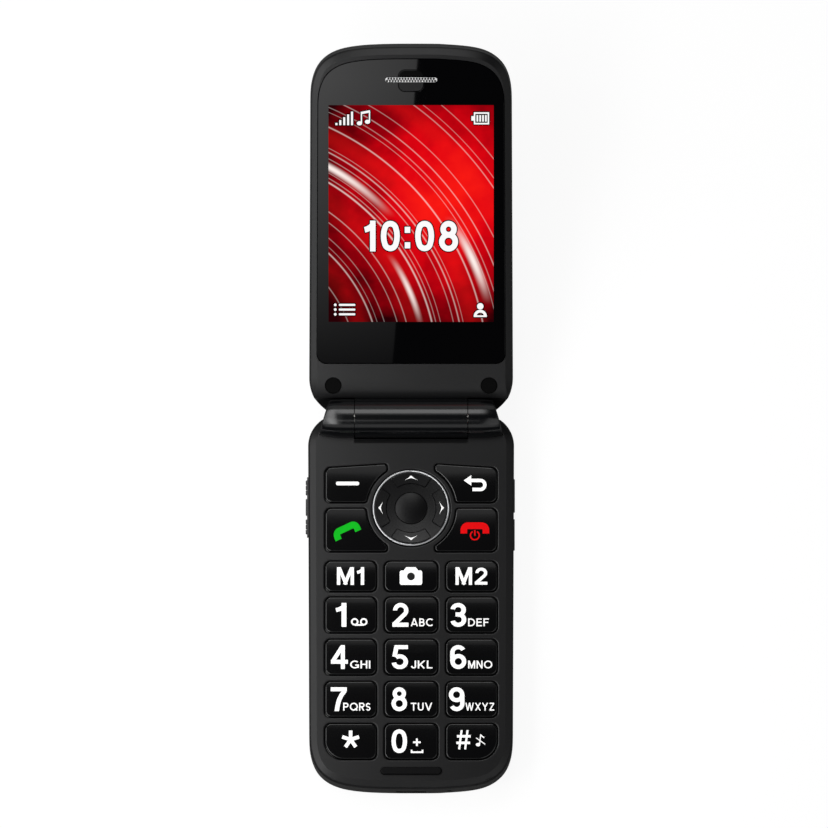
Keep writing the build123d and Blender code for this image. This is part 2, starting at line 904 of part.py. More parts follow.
def microphone():
    """Round microphone under the board, facing the far end."""
    return post(mic_radius, mic_x, mic_d, board_z - mic_height, board_z)


def loudspeaker():
    """Ringer loudspeaker over the grille in the back."""
    face = rounded(speaker_x, speaker_d, speaker_width, speaker_length, corner_fillet)
    body = slab(face, floor, floor + speaker_height)
    return fillet(rim(body, floor + speaker_height), corner_fillet / 4)


def vibration_motor():
    """Coin vibration motor on the floor of the back shell."""
    body = post(motor_radius, motor_x, speaker_d, floor, floor + motor_height)
    return fillet(rim(body, floor + motor_height), corner_fillet / 4)


def battery():
    """Flat removable battery."""
    middle = battery_top_d + battery_length / 2
    low = shell_floor_z
    face = rounded(0, middle, battery_half * 2, battery_length, battery_round)
    body = slab(face, low, low + battery_thickness)
    return fillet(rim(body, low) + rim(body, low + battery_thickness), battery_round / 4)


def sim_card_holder():
    """Card tray under the deck of the battery bay."""
    high = deck_under_z
    half = sim_width / 2
    tray = block(-half, half, sim_d, sim_d + sim_length, high - sim_height, high)
    lip = sim_height / 3
    inner = half - lip
    low = high - sim_height
    mouth = block(-inner, inner, sim_d - lip, sim_d + sim_length - lip, low + lip, high - lip)
    return tray - mouth


def contact_places():
    """Middle x of each battery contact."""
    return [-contact_pitch, 0, contact_pitch]


def contact_low():
    """Lower edge of the battery contacts' slots."""
    return shell_floor_z + (battery_thickness - contact_height) / 2 - fit_gap


def contact_high():
    """Upper edge of the battery contacts' slots."""
    return contact_low() + contact_height + fit_gap * 2


def battery_contacts():
    """Spring blades that meet the battery's end."""
    blades = []
    half = contact_width / 2
    end = battery_top_d - seat_gap
    for x in contact_places():
        low = contact_low() + fit_gap
        blades.append(block(x - half, x + half, contact_slot_d, end, low, low + contact_height))
    return blades


def screw(x, d, seat, end, side=BASE):
    """Cross-slot screw with its head's underside at seat and its tip at end."""
    up = 1 if end > seat else -1
    top = seat - up * screw_head_height
    shape = post(screw_radius, x, d, min(seat, end), max(seat, end), side)
    shape += post(screw_head_radius, x, d, min(seat, top), max(seat, top), side)
    inner = top + up * screw_cross_depth
    low = min(inner, top - up * overrun)
    high = max(inner, top - up * overrun)
    long = screw_cross_length / 2
    short = screw_cross_width / 2
    shape -= block(x - long, x + long, d - short, d + short, low, high, side)
    shape -= block(x - short, x + short, d - long, d + long, low, high, side)
    return shape


def base_screws():
    """Four screws from the back shell into the front cover."""
    return [screw(x, d, seat, plate_under_z - fit_gap) for x, d, seat in screw_places()]


def volume_key():
    """Rocker in the left wall: ribbed outer face, inner flange and lower trunnion."""
    low = side_key_z - volume_height / 2
    high = side_key_z + volume_height / 2
    half = volume_length / 2
    face_x = -(side_half(volume_d) + volume_proud)
    flange_x = -volume_flange_x()
    inner_x = flange_x + volume_flange
    key = block(face_x, inner_x, volume_d - half, volume_d + half, low, high)
    wide_half = half + volume_lip
    key += block(flange_x, inner_x, volume_d - wide_half, volume_d + wide_half, low, high)
    lug = lug_length / 2
    key += block(flange_x, inner_x + lug_depth, volume_d - lug, volume_d + lug, low, high)
    for hand in (-1, 1):
        for tooth in range(tooth_count):
            d = volume_d + hand * (half - tooth_end_gap - tooth_pitch * (tooth + 1 / 2))
            edge = tooth_width / 2
            key += block(face_x - tooth_height, flange_x, d - edge, d + edge, low, high)
    middle = volume_bar_length / 2
    key += block(face_x - tooth_height, flange_x, volume_d - middle, volume_d + middle, low, high)
    outer = key.faces().group_by(Axis.X)[0].edges()
    key = fillet(outer, tooth_height / 2)
    foot = low - trunnion_length
    return key + post(trunnion_radius, trunnion_axis_x(), volume_d, foot, low)


def side_key(d, length):
    """Push key in the right wall with its inner flange."""
    low = side_key_z - side_key_height / 2
    high = side_key_z + side_key_height / 2
    face_x = side_half(d) + side_key_proud
    flange_x = side_flange_x(d, length)
    inner_x = flange_x - volume_flange
    half = length / 2
    key = block(inner_x, face_x, d - half, d + half, low, high)
    outer = key.faces().sort_by(Axis.X)[-1].edges()
    key = fillet(outer, side_key_edge)
    lip = half + volume_lip
    return key + block(inner_x, flange_x, d - lip, d + lip, low, high)


def side_switches():
    """Click switches behind the volume key and the two side keys."""
    half = switch_length / 2
    places = []
    left = -(volume_flange_x() - volume_flange - switch_gap)
    for hand in (-1, 1):
        d = volume_d + hand * (volume_length / 2 - switch_length)
        places.append((left, left + switch_depth, d))
    for d, length in side_key_places():
        right = side_flange_x(d, length) - volume_flange - switch_gap
        places.append((right - switch_depth, right, d))
    boxes = []
    for x_low, x_high, d in places:
        foot = side_bay_floor if d + half > bay_end_d else floor
        boxes.append(block(x_low, x_high, d - half, d + half, foot, side_bay_floor + switch_height))
    return boxes


def hinge_ear(hand):
    """Hinge ear with the hole that grips its pin."""
    radius = shaft_radius if hand > 0 else pivot_radius
    solid = ear(hand, 0)
    ends = sorted((hand * (ear_inner - overrun), hand * (ear_inner + shaft_grip + fit_gap)))
    return solid - bar(radius + press_gap, ends[0], ends[1])


def hinge_drive_shaft():
    """Shaft that ties the spring cartridge to the right ear."""
    return bar(shaft_radius, barrel_half - shaft_reach, ear_inner + shaft_grip)


def hinge_pivot_pin():
    """Hollow pin in the left ear; the cable to the lid runs through it."""
    low = -(ear_inner + shaft_grip)
    high = -(barrel_half - shaft_reach)
    return bar(pivot_radius, low, high) - bar(pivot_bore, low - overrun, high + overrun)


def hinge_cable():
    """Cable bundle along the axis, from the left ear into the barrel."""
    return bar(cable_radius, -(ear_inner + shaft_grip), -(barrel_half - shaft_reach))


def lid_hinge_barrel():
    """Middle section of the hinge, on the lid."""
    solid = bar(barrel_radius, -barrel_half, barrel_half)
    pocket = barrel_half - cartridge_length - fit_gap
    solid -= bar(cartridge_radius + press_gap, pocket, barrel_half + overrun)
    hole_end = barrel_half - shaft_reach - fit_gap
    return solid - bar(pivot_radius + running_fit, -barrel_half - overrun, -hole_end)


def hinge_cartridge():
    """Spring cartridge that holds the lid open or closed."""
    start = barrel_half - cartridge_length
    solid = bar(cartridge_radius, start, barrel_half)
    hole_end = barrel_half - shaft_reach - fit_gap
    return solid - bar(shaft_radius + running_fit, hole_end, barrel_half + overrun)


def lid_place(solid):
    """Turn a piece of the lid from its flat pose to the open stop."""
    turn = Pos(0, hinge_y, axis_z) * Rot(X=open_tilt) * Pos(0, -hinge_y, -axis_z)
    if isinstance(solid, list):
        return [turn * one for one in solid]
    return turn * solid


def lid_block():
    """Outer form of the lid: rolled-off hinge end, meeting plane and hinge seat."""
    solid = shell_block(lid_plan(0), lid_back_z, lid_face_z)
    low = lid_face_z - roll_radius
    roll = block(-wide, wide, -far, roll_start_d, low, lid_face_z + overrun, LID)
    centre = at(0, roll_start_d, LID)
    roll -= Pos(0, centre[1], low) * Rot(Y=90) * Cylinder(roll_radius, wide * 2)
    solid -= roll
    solid -= meeting_cut(LID)
    for hand in (-1, 1):
        ends = sorted((hand * barrel_half, hand * wide))
        solid -= bar(barrel_radius + run_gap, ends[0], ends[1])
    return solid - bar(barrel_radius + seat_gap, -barrel_half - overrun, barrel_half + overrun)


def window_face(gap):
    """Plan face of the display window, its top following the lid's end."""
    half = window_half + gap
    face = lid_plan(lid_half_far - half)
    shift = window_top_d + gap - (lid_reach - lid_half_far + half)
    face = Pos(0, shift, 0) * face
    centre = at(0, (window_bottom_d - gap + far) / 2, LID)
    keep = Pos(centre[0], centre[1], 0) * Rectangle(wide, far - window_bottom_d + gap)
    face = (Sketch() + face) & keep
    low = face.vertices().sort_by(Axis.Y)[:2]
    return fillet(low, window_corner + gap)


def screen_hole(gap):
    """Plan face of the viewing opening under the window."""
    middle = (screen_bottom_d + screen_top_d) / 2
    margin = screen_margin + gap
    width = (screen_half + margin) * 2
    length = screen_top_d - screen_bottom_d + margin * 2
    return rounded(0, middle, width, length, corner_fillet, LID)


def mesh_face(gap):
    """Plan face of the earpiece slot."""
    centre = at(0, earpiece_d, LID)
    slot = SlotOverall(mesh_length + gap * 2, mesh_height + gap * 2)
    return Pos(centre[0], centre[1], 0) * slot


def lid_front_cover():
    """Inner face of the lid: window pocket, viewing opening and screw holes."""
    keep = block(-wide, wide, -far, far, lid_split_z, lid_face_z + overrun, LID)
    cover = lid_block() & keep
    hollow = slab(lid_plan(wall), lid_split_z - overrun, shelf_under_z)
    hollow &= block(-wide, wide, window_bottom_d, far, 0, lid_face_z, LID)
    cover -= hollow
    cover -= slab(window_face(window_gap), window_under_z - seat_gap, lid_face_z + overrun)
    cover -= slab(screen_hole(0), shelf_under_z - overrun, lid_face_z)
    cover -= slab(mesh_face(-mesh_sink), shelf_under_z - overrun, lid_face_z)
    for hand in (-1, 1):
        x = hand * lid_screw_x
        top = lid_face_z + overrun
        cover -= post(cap_radius + cap_gap, x, lid_screw_d, cap_under_z(), top, LID)
        head = screw_head_radius + screw_hole_gap
        cover -= post(head, x, lid_screw_d, lid_screw_seat(), top, LID)
        shank = screw_radius + screw_hole_gap
        cover -= post(shank, x, lid_screw_d, lid_split_z - overrun, top, LID)
    return cover


def cap_under_z():
    """Underside of the screw caps."""
    return lid_face_z - cap_sink - cap_height


def lid_screw_seat():
    """Height of the lid screws' seats."""
    return cap_under_z() - screw_head_height - seat_gap


def lid_rear_cover():
    """Outer shell of the lid, with the camera opening and screw bosses."""
    keep = block(-wide, wide, -far, far, lid_back_z - overrun, lid_split_z, LID)
    cover = lid_block() & keep
    hollow = slab(lid_plan(wall), lid_back_z + floor, lid_split_z + overrun)
    start = lid_screw_d + screw_boss
    hollow &= block(-wide, wide, start, far, 0, lid_face_z, LID)
    cover -= hollow
    for hand in (-1, 1):
        x = hand * lid_screw_x
        cover -= post(screw_radius, x, lid_screw_d, lid_back_z + floor, lid_split_z + overrun, LID)
    lens = camera_window_radius
    seat = lid_back_z + camera_window_thickness
    cover -= post(lens + seat_gap, 0, camera_d, lid_back_z - overrun, seat, LID)
    hole = camera_lens_radius + camera_lens_gap
    cover -= post(hole, 0, camera_d, lid_back_z - overrun, lid_split_z, LID)
    return cover


def display_window():
    """Clear front window with the earpiece slot and its moulded dish."""
    top = lid_face_z - window_sink
    window = slab(window_face(0), window_under_z, top)
    window = chamfer(rim(window, top), window_sink * 3)
    dish_middle = (dish_bottom_d + dish_top_d) / 2
    face = rounded(0, dish_middle, dish_half * 2, dish_top_d - dish_bottom_d, dish_corner, LID)
    dish = extrude(face, amount=dish_depth * 2, dir=(0, 0, 1), taper=-dish_slope)
    window -= Pos(0, 0, top - dish_depth) * dish
    return window - slab(mesh_face(0), window_under_z - overrun, top + overrun)


def display_panel():
    """Display module behind the viewing opening."""
    low = screen_bottom_d - panel_below
    high = screen_top_d + panel_above
    face = rounded(0, (low + high) / 2, panel_half * 2, high - low, corner_fillet / 2, LID)
    return slab(face, panel_z, panel_top_z)


def earpiece_mesh():
    """Perforated bar in the earpiece slot."""
    top = lid_face_z - window_sink - mesh_sink
    mesh = slab(mesh_face(-seat_gap), top - mesh_thickness, top)
    holes = []
    for row in (0, 1):
        count = mesh_holes - row
        for spot in range(count):
            x = (spot - (count - 1) / 2) * mesh_hole_pitch
            d = earpiece_d + (row - 1 / 2) * mesh_row_pitch
            holes.append(post(mesh_hole, x, d, top - mesh_thickness * 2, top + overrun, LID))
    return mesh - holes


def earpiece_speaker():
    """Earpiece speaker under the slot."""
    face = rounded(0, earpiece_d, speaker_bar_length, speaker_bar_width, corner_fillet, LID)
    return slab(face, panel_top_z - speaker_bar_height, panel_top_z)


def lid_board():
    """Small board behind the display."""
    middle = (lid_board_top_d + lid_board_bottom_d) / 2
    length = lid_board_top_d - lid_board_bottom_d
    high = panel_z - seat_gap
    face = rounded(0, middle, lid_board_half * 2, length, corner_fillet, LID)
    return slab(face, high - lid_board_thickness, high)


def lid_screws():
    """Two screws under the caps beside the hinge."""
    end = lid_back_z + floor + fit_gap
    seat = lid_screw_seat()
    return [screw(hand * lid_screw_x, lid_screw_d, seat, end, LID) for hand in (-1, 1)]


def lid_screw_caps():
    """Soft plugs over the lid screws."""
    low = cap_under_z()
    caps = []
    for hand in (-1, 1):
        cap = post(cap_radius, hand * lid_screw_x, lid_screw_d, low, low + cap_height, LID)
        caps.append(fillet(rim(cap, low + cap_height), cap_height / 4))
    return caps


def camera_module():
    """Camera behind its window in the lid's back."""
    low = lid_back_z + camera_window_thickness + seat_gap
    half = camera_size / 2
    body_low = lid_back_z + floor
    high = panel_top_z - speaker_bar_height - seat_gap
    module = block(-half, half, camera_d - half, camera_d + half, body_low, high, LID)
    return module + post(camera_lens_radius, 0, camera_d, low, body_low + floor, LID)


def camera_window():
    """Round window over the camera."""
    low = lid_back_z
    disc = post(camera_window_radius, 0, camera_d, low, low + camera_window_thickness, LID)
    return fillet(rim(disc, low), camera_window_thickness / 4)


def all_parts():
    """Every piece under its node name."""
    parts = {
        "base_front_cover": base_front_cover(),
        "base_rear_case": base_rear_case(),
        "battery_cover": battery_cover(),
        "battery": battery(),
        "battery_contacts": battery_contacts(),
        "main_board": main_board(),
        "snap_domes": snap_domes(),
        "keypad_mat": keypad_mat(),
        "loudspeaker": loudspeaker(),
        "vibration_motor": vibration_motor(),
        "microphone": microphone(),
        "usb_socket": usb_socket(),
        "sim_card_holder": sim_card_holder(),
        "base_screws": base_screws(),
        "side_switches": side_switches(),
        "bumper_strip": bumper_strip(),
        "hinge_ear_left": hinge_ear(-1),
        "hinge_ear_right": hinge_ear(1),
        "hinge_drive_shaft": hinge_drive_shaft(),
        "hinge_pivot_pin": hinge_pivot_pin(),
        "hinge_cable": hinge_cable(),
        "nav_key": nav_key(),
        "nav_trim_ring": nav_trim_ring(),
        "nav_carrier": nav_carrier(),
        "ok_key": ok_key(),
        "volume_key": volume_key(),
        "side_key_upper": side_key(side_key_upper_d, side_key_upper_length),
        "side_key_lower": side_key(side_key_lower_d, side_key_lower_length),
    }
    for name, shape, _, d, length in key_table():
        parts[name] = keypad_key(name, shape, d, length)
    lid = {
        "lid_front_cover": lid_front_cover(),
        "lid_rear_cover": lid_rear_cover(),
        "lid_hinge_barrel": lid_hinge_barrel(),
        "hinge_cartridge": hinge_cartridge(),
        "display_window": display_window(),
        "display_panel": display_panel(),
        "lid_board": lid_board(),
        "earpiece_speaker": earpiece_speaker(),
        "earpiece_mesh": earpiece_mesh(),
        "lid_screws": lid_screws(),
        "lid_screw_caps": lid_screw_caps(),
        "camera_module": camera_module(),
        "camera_window": camera_window(),
    }
    for name, solid in lid.items():
        parts[name] = lid_place(solid)
    return parts


os.makedirs("parts", exist_ok=True)
for node, solid in all_parts().items():
    shape = Compound(children=solid) if isinstance(solid, list) else solid
    export_step(shape, "parts/" + node + ".step")
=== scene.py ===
"""Dress the flip phone: finishes on every piece, printed legends and a lit screen."""

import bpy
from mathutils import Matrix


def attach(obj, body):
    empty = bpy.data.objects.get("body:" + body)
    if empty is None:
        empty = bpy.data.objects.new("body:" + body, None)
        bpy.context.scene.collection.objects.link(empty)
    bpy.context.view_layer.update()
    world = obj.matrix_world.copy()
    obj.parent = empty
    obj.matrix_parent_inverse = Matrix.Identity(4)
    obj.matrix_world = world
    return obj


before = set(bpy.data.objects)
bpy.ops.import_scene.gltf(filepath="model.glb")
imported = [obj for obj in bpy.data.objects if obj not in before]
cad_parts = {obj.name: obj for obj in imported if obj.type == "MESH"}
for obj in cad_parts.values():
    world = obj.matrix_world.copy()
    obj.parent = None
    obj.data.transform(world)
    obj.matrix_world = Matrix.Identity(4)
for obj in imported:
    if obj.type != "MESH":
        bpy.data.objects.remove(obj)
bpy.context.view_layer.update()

import logging
import math
from dataclasses import dataclass
from enum import Enum
from typing import Callable, Iterable, Optional, Sequence, Union

import bmesh
import bpy
from mathutils import Matrix, Vector

LOG = logging.getLogger("flip_phone")
MM = 0.001
HINGE_Y = 48.0
HINGE_Z = 11.0

Move = Union[float, tuple]
Box = tuple


class Half(Enum):
    """The two halves of the phone, each with its tilt at rest in degrees."""

    KEYPAD = 0.0
    LID = 20.0

    def placing(self) -> Matrix:
        """Give the matrix from a half's flat millimetres to the frame's metres.

        Returns:
            A matrix for points given as x, distance from the hinge axis, height.
        """
        to_hinge = Matrix.Translation((0, 0, -HINGE_Z))
        turn = Matrix.Rotation(math.radians(self.value), 4, "X")
        back = Matrix.Translation((0, HINGE_Y, HINGE_Z))
        return Matrix.Scale(MM, 4) @ back @ turn @ to_hinge


def linear(code: str) -> tuple:
    """Turn an sRGB hex code into linear colour.

    Args:
        code: six hex digits after a hash sign.

    Returns:
        Red, green, blue and an alpha of one.
    """
    shares = [int(code[i:i + 2], 16) / 255 for i in (1, 3, 5)]
    bright = [s / 12.92 if s <= 0.04045 else ((s + 0.055) / 1.055) ** 2.4 for s in shares]
    return (*bright, 1.0)


def add_node(
    tree: bpy.types.NodeTree, kind: str, inputs: Optional[dict] = None, **settings: object,
) -> bpy.types.Node:
    """Add a node, set its properties, and set or link its inputs.

    Args:
        tree: the node tree.
        kind: Blender's name of the node type.
        inputs: values or output sockets by input name or number.
        settings: properties of the node.

    Returns:
        The new node.
    """
    made = tree.nodes.new(kind)
    for name, value in settings.items():
        setattr(made, name, value)
    for name, value in (inputs or {}).items():
        if isinstance(value, bpy.types.NodeSocket):
            tree.links.new(value, made.inputs[name])
        else:
            made.inputs[name].default_value = value
    return made


def new_tree(name: str) -> tuple:
    """Start a material with an empty tree.

    Args:
        name: the material's name.

    Returns:
        The material, its tree and its output node.
    """
    material = bpy.data.materials.new(name)
    material.use_nodes = True
    tree = material.node_tree
    tree.nodes.clear()
    return material, tree, add_node(tree, "ShaderNodeOutputMaterial")


def per_metre(size_mm: float) -> float:
    """Give a texture scale whose features have a size in millimetres."""
    return 1.0 / (size_mm * MM)


def flat_place(tree: bpy.types.NodeTree, half: Half) -> bpy.types.NodeSocket:
    """Give a half's flat millimetres inside a material.

    Args:
        tree: the node tree.
        half: the half that the piece belongs to.

    Returns:
        The socket of x, distance from the hinge axis and height.
    """
    flat = half.placing().inverted()
    turned = add_node(
        tree, "ShaderNodeMapping",
        {
            "Vector": add_node(tree, "ShaderNodeTexCoord").outputs["Object"], "Rotation": tuple(flat.to_euler()),
            "Scale": tuple(flat.to_scale()), "Location": tuple(flat.to_translation()),
        },
        vector_type="POINT",
    )
    return turned.outputs["Vector"]


@dataclass(frozen=True)
class Finish:
    """A surface: its colour, gloss, fine grain and slow drift of both."""

    name: str
    colour: str
    roughness: float
    grain_mm: float
    grain_depth_mm: float
    metallic: float = 0.0
    ior: float = 1.5
    drift: float = 0.12
    drift_mm: float = 14.0
    roughness_drift: float = 0.04
    specular: float = 0.5
    glow: float = 0.0
    grain_strength: float = 0.6

    def material(self) -> bpy.types.Material:
        """Build the node material of this finish."""
        material, tree, out = new_tree(self.name)
        place = add_node(tree, "ShaderNodeTexCoord").outputs["Object"]
        slow = add_node(
            tree, "ShaderNodeTexNoise", {"Vector": place, "Scale": per_metre(self.drift_mm), "Detail": 3.0},
        )
        fine = add_node(
            tree, "ShaderNodeTexNoise", {"Vector": place, "Scale": per_metre(self.grain_mm), "Detail": 2.0},
        )
        base = linear(self.colour)
        dark = tuple(c * (1 - self.drift) for c in base[:3]) + (1.0,)
        light = tuple(min(1.0, c * (1 + self.drift)) for c in base[:3]) + (1.0,)
        tint = add_node(
            tree, "ShaderNodeMix", {0: slow.outputs["Fac"], 6: dark, 7: light}, data_type="RGBA",
        )
        colour = self.pattern(tree, tint.outputs[2])
        low = max(0.0, self.roughness - self.roughness_drift)
        high = min(1.0, self.roughness + self.roughness_drift)
        rough = add_node(
            tree, "ShaderNodeMapRange", {"Value": slow.outputs["Fac"], "To Min": low, "To Max": high},
        )
        bump = add_node(
            tree, "ShaderNodeBump",
            {
                "Height": fine.outputs["Fac"], "Distance": self.grain_depth_mm * MM,
                "Strength": self.grain_strength,
            },
        )
        shader = add_node(
            tree, "ShaderNodeBsdfPrincipled",
            {
                "Base Color": colour, "Roughness": rough.outputs["Result"], "Metallic": self.metallic,
                "IOR": self.ior, "Normal": bump.outputs["Normal"], "Specular IOR Level": self.specular,
                "Emission Color": colour, "Emission Strength": self.glow,
            },
        )
        tree.links.new(shader.outputs["BSDF"], out.inputs["Surface"])
        return material

    def pattern(self, tree: bpy.types.NodeTree, colour: bpy.types.NodeSocket) -> bpy.types.NodeSocket:
        """Give the colour with this finish's own pattern on it; a plain finish has none."""
        return colour


@dataclass(frozen=True)
class PiercedSheet(Finish):
    """Sheet with two staggered rows of punched holes, with painted shade filling each hole and fading out over a rim
    round it.
    """

    rows_d: float = 89.75
    row_pitch: float = 0.54
    hole_pitch: float = 0.74
    holes: int = 18
    hole_radius: float = 0.27
    hole_shade_radius: float = 0.33
    hole_shade_colour: str = "#030303"

    def pattern(self, tree: bpy.types.NodeTree, colour: bpy.types.NodeSocket) -> bpy.types.NodeSocket:
        """Paint shade into every hole and over a rim round it.

        Args:
            tree: the node tree.
            colour: the bare sheet's colour.

        Returns:
            The socket of the patterned colour.
        """
        split = add_node(tree, "ShaderNodeSeparateXYZ", {"Vector": flat_place(tree, Half.LID)})
        across = split.outputs["X"]
        away = add_node(tree, "ShaderNodeMath", {0: across}, operation="ABSOLUTE")
        for row in (0, 1):
            count = add_node(
                tree, "ShaderNodeMath", {0: across, 1: 1 / self.hole_pitch, 2: row / 2}, operation="MULTIPLY_ADD",
            )
            share = add_node(tree, "ShaderNodeMath", {0: count.outputs[0]}, operation="FRACT")
            side = add_node(
                tree, "ShaderNodeMath", {0: share.outputs[0], 1: self.hole_pitch, 2: -self.hole_pitch / 2},
                operation="MULTIPLY_ADD",
            )
            middle = self.rows_d + (row - 0.5) * self.row_pitch
            up = add_node(tree, "ShaderNodeMath", {0: split.outputs["Y"], 1: middle}, operation="SUBTRACT")
            off = add_node(tree, "ShaderNodeCombineXYZ", {"X": side.outputs[0], "Y": up.outputs[0]})
            reach = add_node(tree, "ShaderNodeVectorMath", {0: off.outputs[0]}, operation="LENGTH")
            # Painted shade: dark over the whole hole, fading out towards the outer radius of the rim.
            edge = add_node(
                tree, "ShaderNodeMapRange",
                {
                    "Value": reach.outputs["Value"], "From Min": self.hole_radius, "From Max": self.hole_shade_radius,
                    "To Min": 1.0, "To Max": 0.0,
                },
            )
            limit = (self.holes - row) / 2 * self.hole_pitch
            inside = add_node(tree, "ShaderNodeMath", {0: away.outputs[0], 1: limit}, operation="LESS_THAN")
            dark = add_node(
                tree, "ShaderNodeMath", {0: edge.outputs[0], 1: inside.outputs[0]}, operation="MULTIPLY",
            )
            mixed = add_node(
                tree, "ShaderNodeMix", {0: dark.outputs[0], 6: colour, 7: linear(self.hole_shade_colour)},
                data_type="RGBA",
            )
            colour = mixed.outputs[2]
        return colour


class Surface(Enum):
    """Every finish on the phone, named for its real material."""

    # Moulded ABS with a fine sparked skin: dark grey, a soft sheen and no clear reflection.
    SATIN_ABS = Finish("satin_black_ABS", "#0f0f10", 0.35, 0.32, 0.005, specular=0.36, roughness_drift=0.02)
    # Polished ABS key caps: near black, with clear reflections that follow the crown.
    GLOSS_ABS = Finish("polished_black_ABS", "#070708", 0.115, 1.6, 0.0006, roughness_drift=0.01)
    # Polished ABS of the hinge: clear long highlights along the barrel.
    HINGE_ABS = Finish("polished_hinge_ABS", "#07080a", 0.17, 1.2, 0.0004, roughness_drift=0.01)
    # Finely etched rocker of the navigation key: between the satin case and the polished keys.
    ETCHED_ABS = Finish("etched_rocker_ABS", "#080809", 0.25, 0.3, 0.002, specular=0.56)
    # Confirm key: the same stock with a soft polish that blurs what it mirrors.
    SOFT_ABS = Finish("soft_polished_ABS", "#030304", 0.3, 0.6, 0.0004, specular=0.25)
    # Side keys of satin ABS, a little lighter grey than the case.
    SIDE_ABS = Finish("satin_side_key_ABS", "#18181a", 0.36, 0.3, 0.01)
    # Acrylic window with a black print behind it: mirror smooth and black.
    ACRYLIC = Finish("black_backed_acrylic", "#010102", 0.012, 9.0, 0.0001, ior=1.49, roughness_drift=0.004)
    # Bright nickel ring: pale metal, a soft turned shine.
    NICKEL_RING = Finish("turned_nickel", "#dcdddf", 0.3, 0.6, 0.0006, metallic=1.0, drift=0.04)
    # Silver-lacquered pierced sheet of the earpiece: pale and slightly matt, with painted shade in and round its
    # holes.
    SILVER_SHEET = PiercedSheet("lacquered_pierced_sheet", "#f6f6f6", 0.42, 0.6, 0.0004, metallic=0.3, drift=0.02)
    # Soft black rubber: dull, with a powdery grain.
    RUBBER = Finish("soft_black_rubber", "#050506", 0.5, 0.22, 0.004, specular=0.1)
    # Rubber plugs over the lid screws and the felted earpiece speaker: dull and nearly black.
    PLUG = Finish("matt_black_plug", "#030303", 0.6, 0.25, 0.004, specular=0.05)
    # Milky silicone of the key mat.
    SILICONE = Finish("milky_silicone", "#8f9194", 0.5, 0.5, 0.006)
    # Solder mask over glass fibre: green with a faint weave.
    BOARD = Finish("green_solder_mask", "#0f4a2a", 0.32, 0.5, 0.006)
    # Plated steel of screws, shafts and shells.
    STEEL = Finish("plated_steel", "#b4b3af", 0.28, 0.2, 0.004, metallic=1.0)
    # Gold flash on contact springs.
    GOLD = Finish("gold_flashed_spring", "#d8b25a", 0.22, 0.2, 0.003, metallic=1.0)
    # Plain moulding inside the phone.
    INNER = Finish("plain_black_moulding", "#1b1b1c", 0.55, 0.4, 0.01)
    # Film wrap of the battery: pale grey, slightly glossy.
    WRAP = Finish("battery_film_wrap", "#b7babd", 0.35, 2.5, 0.004)
    # Display module: dark glass in a black frame.
    MODULE = Finish("display_module_glass", "#060608", 0.08, 6.0, 0.001)
    # Tape round the hinge wires.
    TAPE = Finish("amber_wire_tape", "#4a3014", 0.45, 0.3, 0.006)
    # White pad-printed ink on the keys, with a faint glow that paints light into it: bright and flat.
    WHITE_INK = Finish("white_pad_print", "#f7f7f6", 0.5, 0.6, 0.0004, drift=0.02, specular=0.15, glow=0.3)
    # Green and red pad-printed ink of the call keys, with a fainter painted glow.
    GREEN_INK = Finish("green_pad_print", "#04b41a", 0.5, 0.6, 0.0004, drift=0.03, specular=0.1, glow=0.1)
    RED_INK = Finish("red_pad_print", "#e40006", 0.5, 0.6, 0.0004, drift=0.03, specular=0.1, glow=0.1)
    # Bare dark key colour left open inside a print.
    DARK_INK = Finish("dark_pad_print", "#060607", 0.3, 0.6, 0.0004)

    def get(self) -> bpy.types.Material:
        """Give the material, built at its first use."""
        made = bpy.data.materials.get(self.value.name)
        return made or self.value.material()


@dataclass(frozen=True)
class Arc:
    """One curved line of light on the screen picture, in millimetres."""

    radius: float
    width: float
    strength: float
    middle: float = 55.0
    spread: float = 90.0


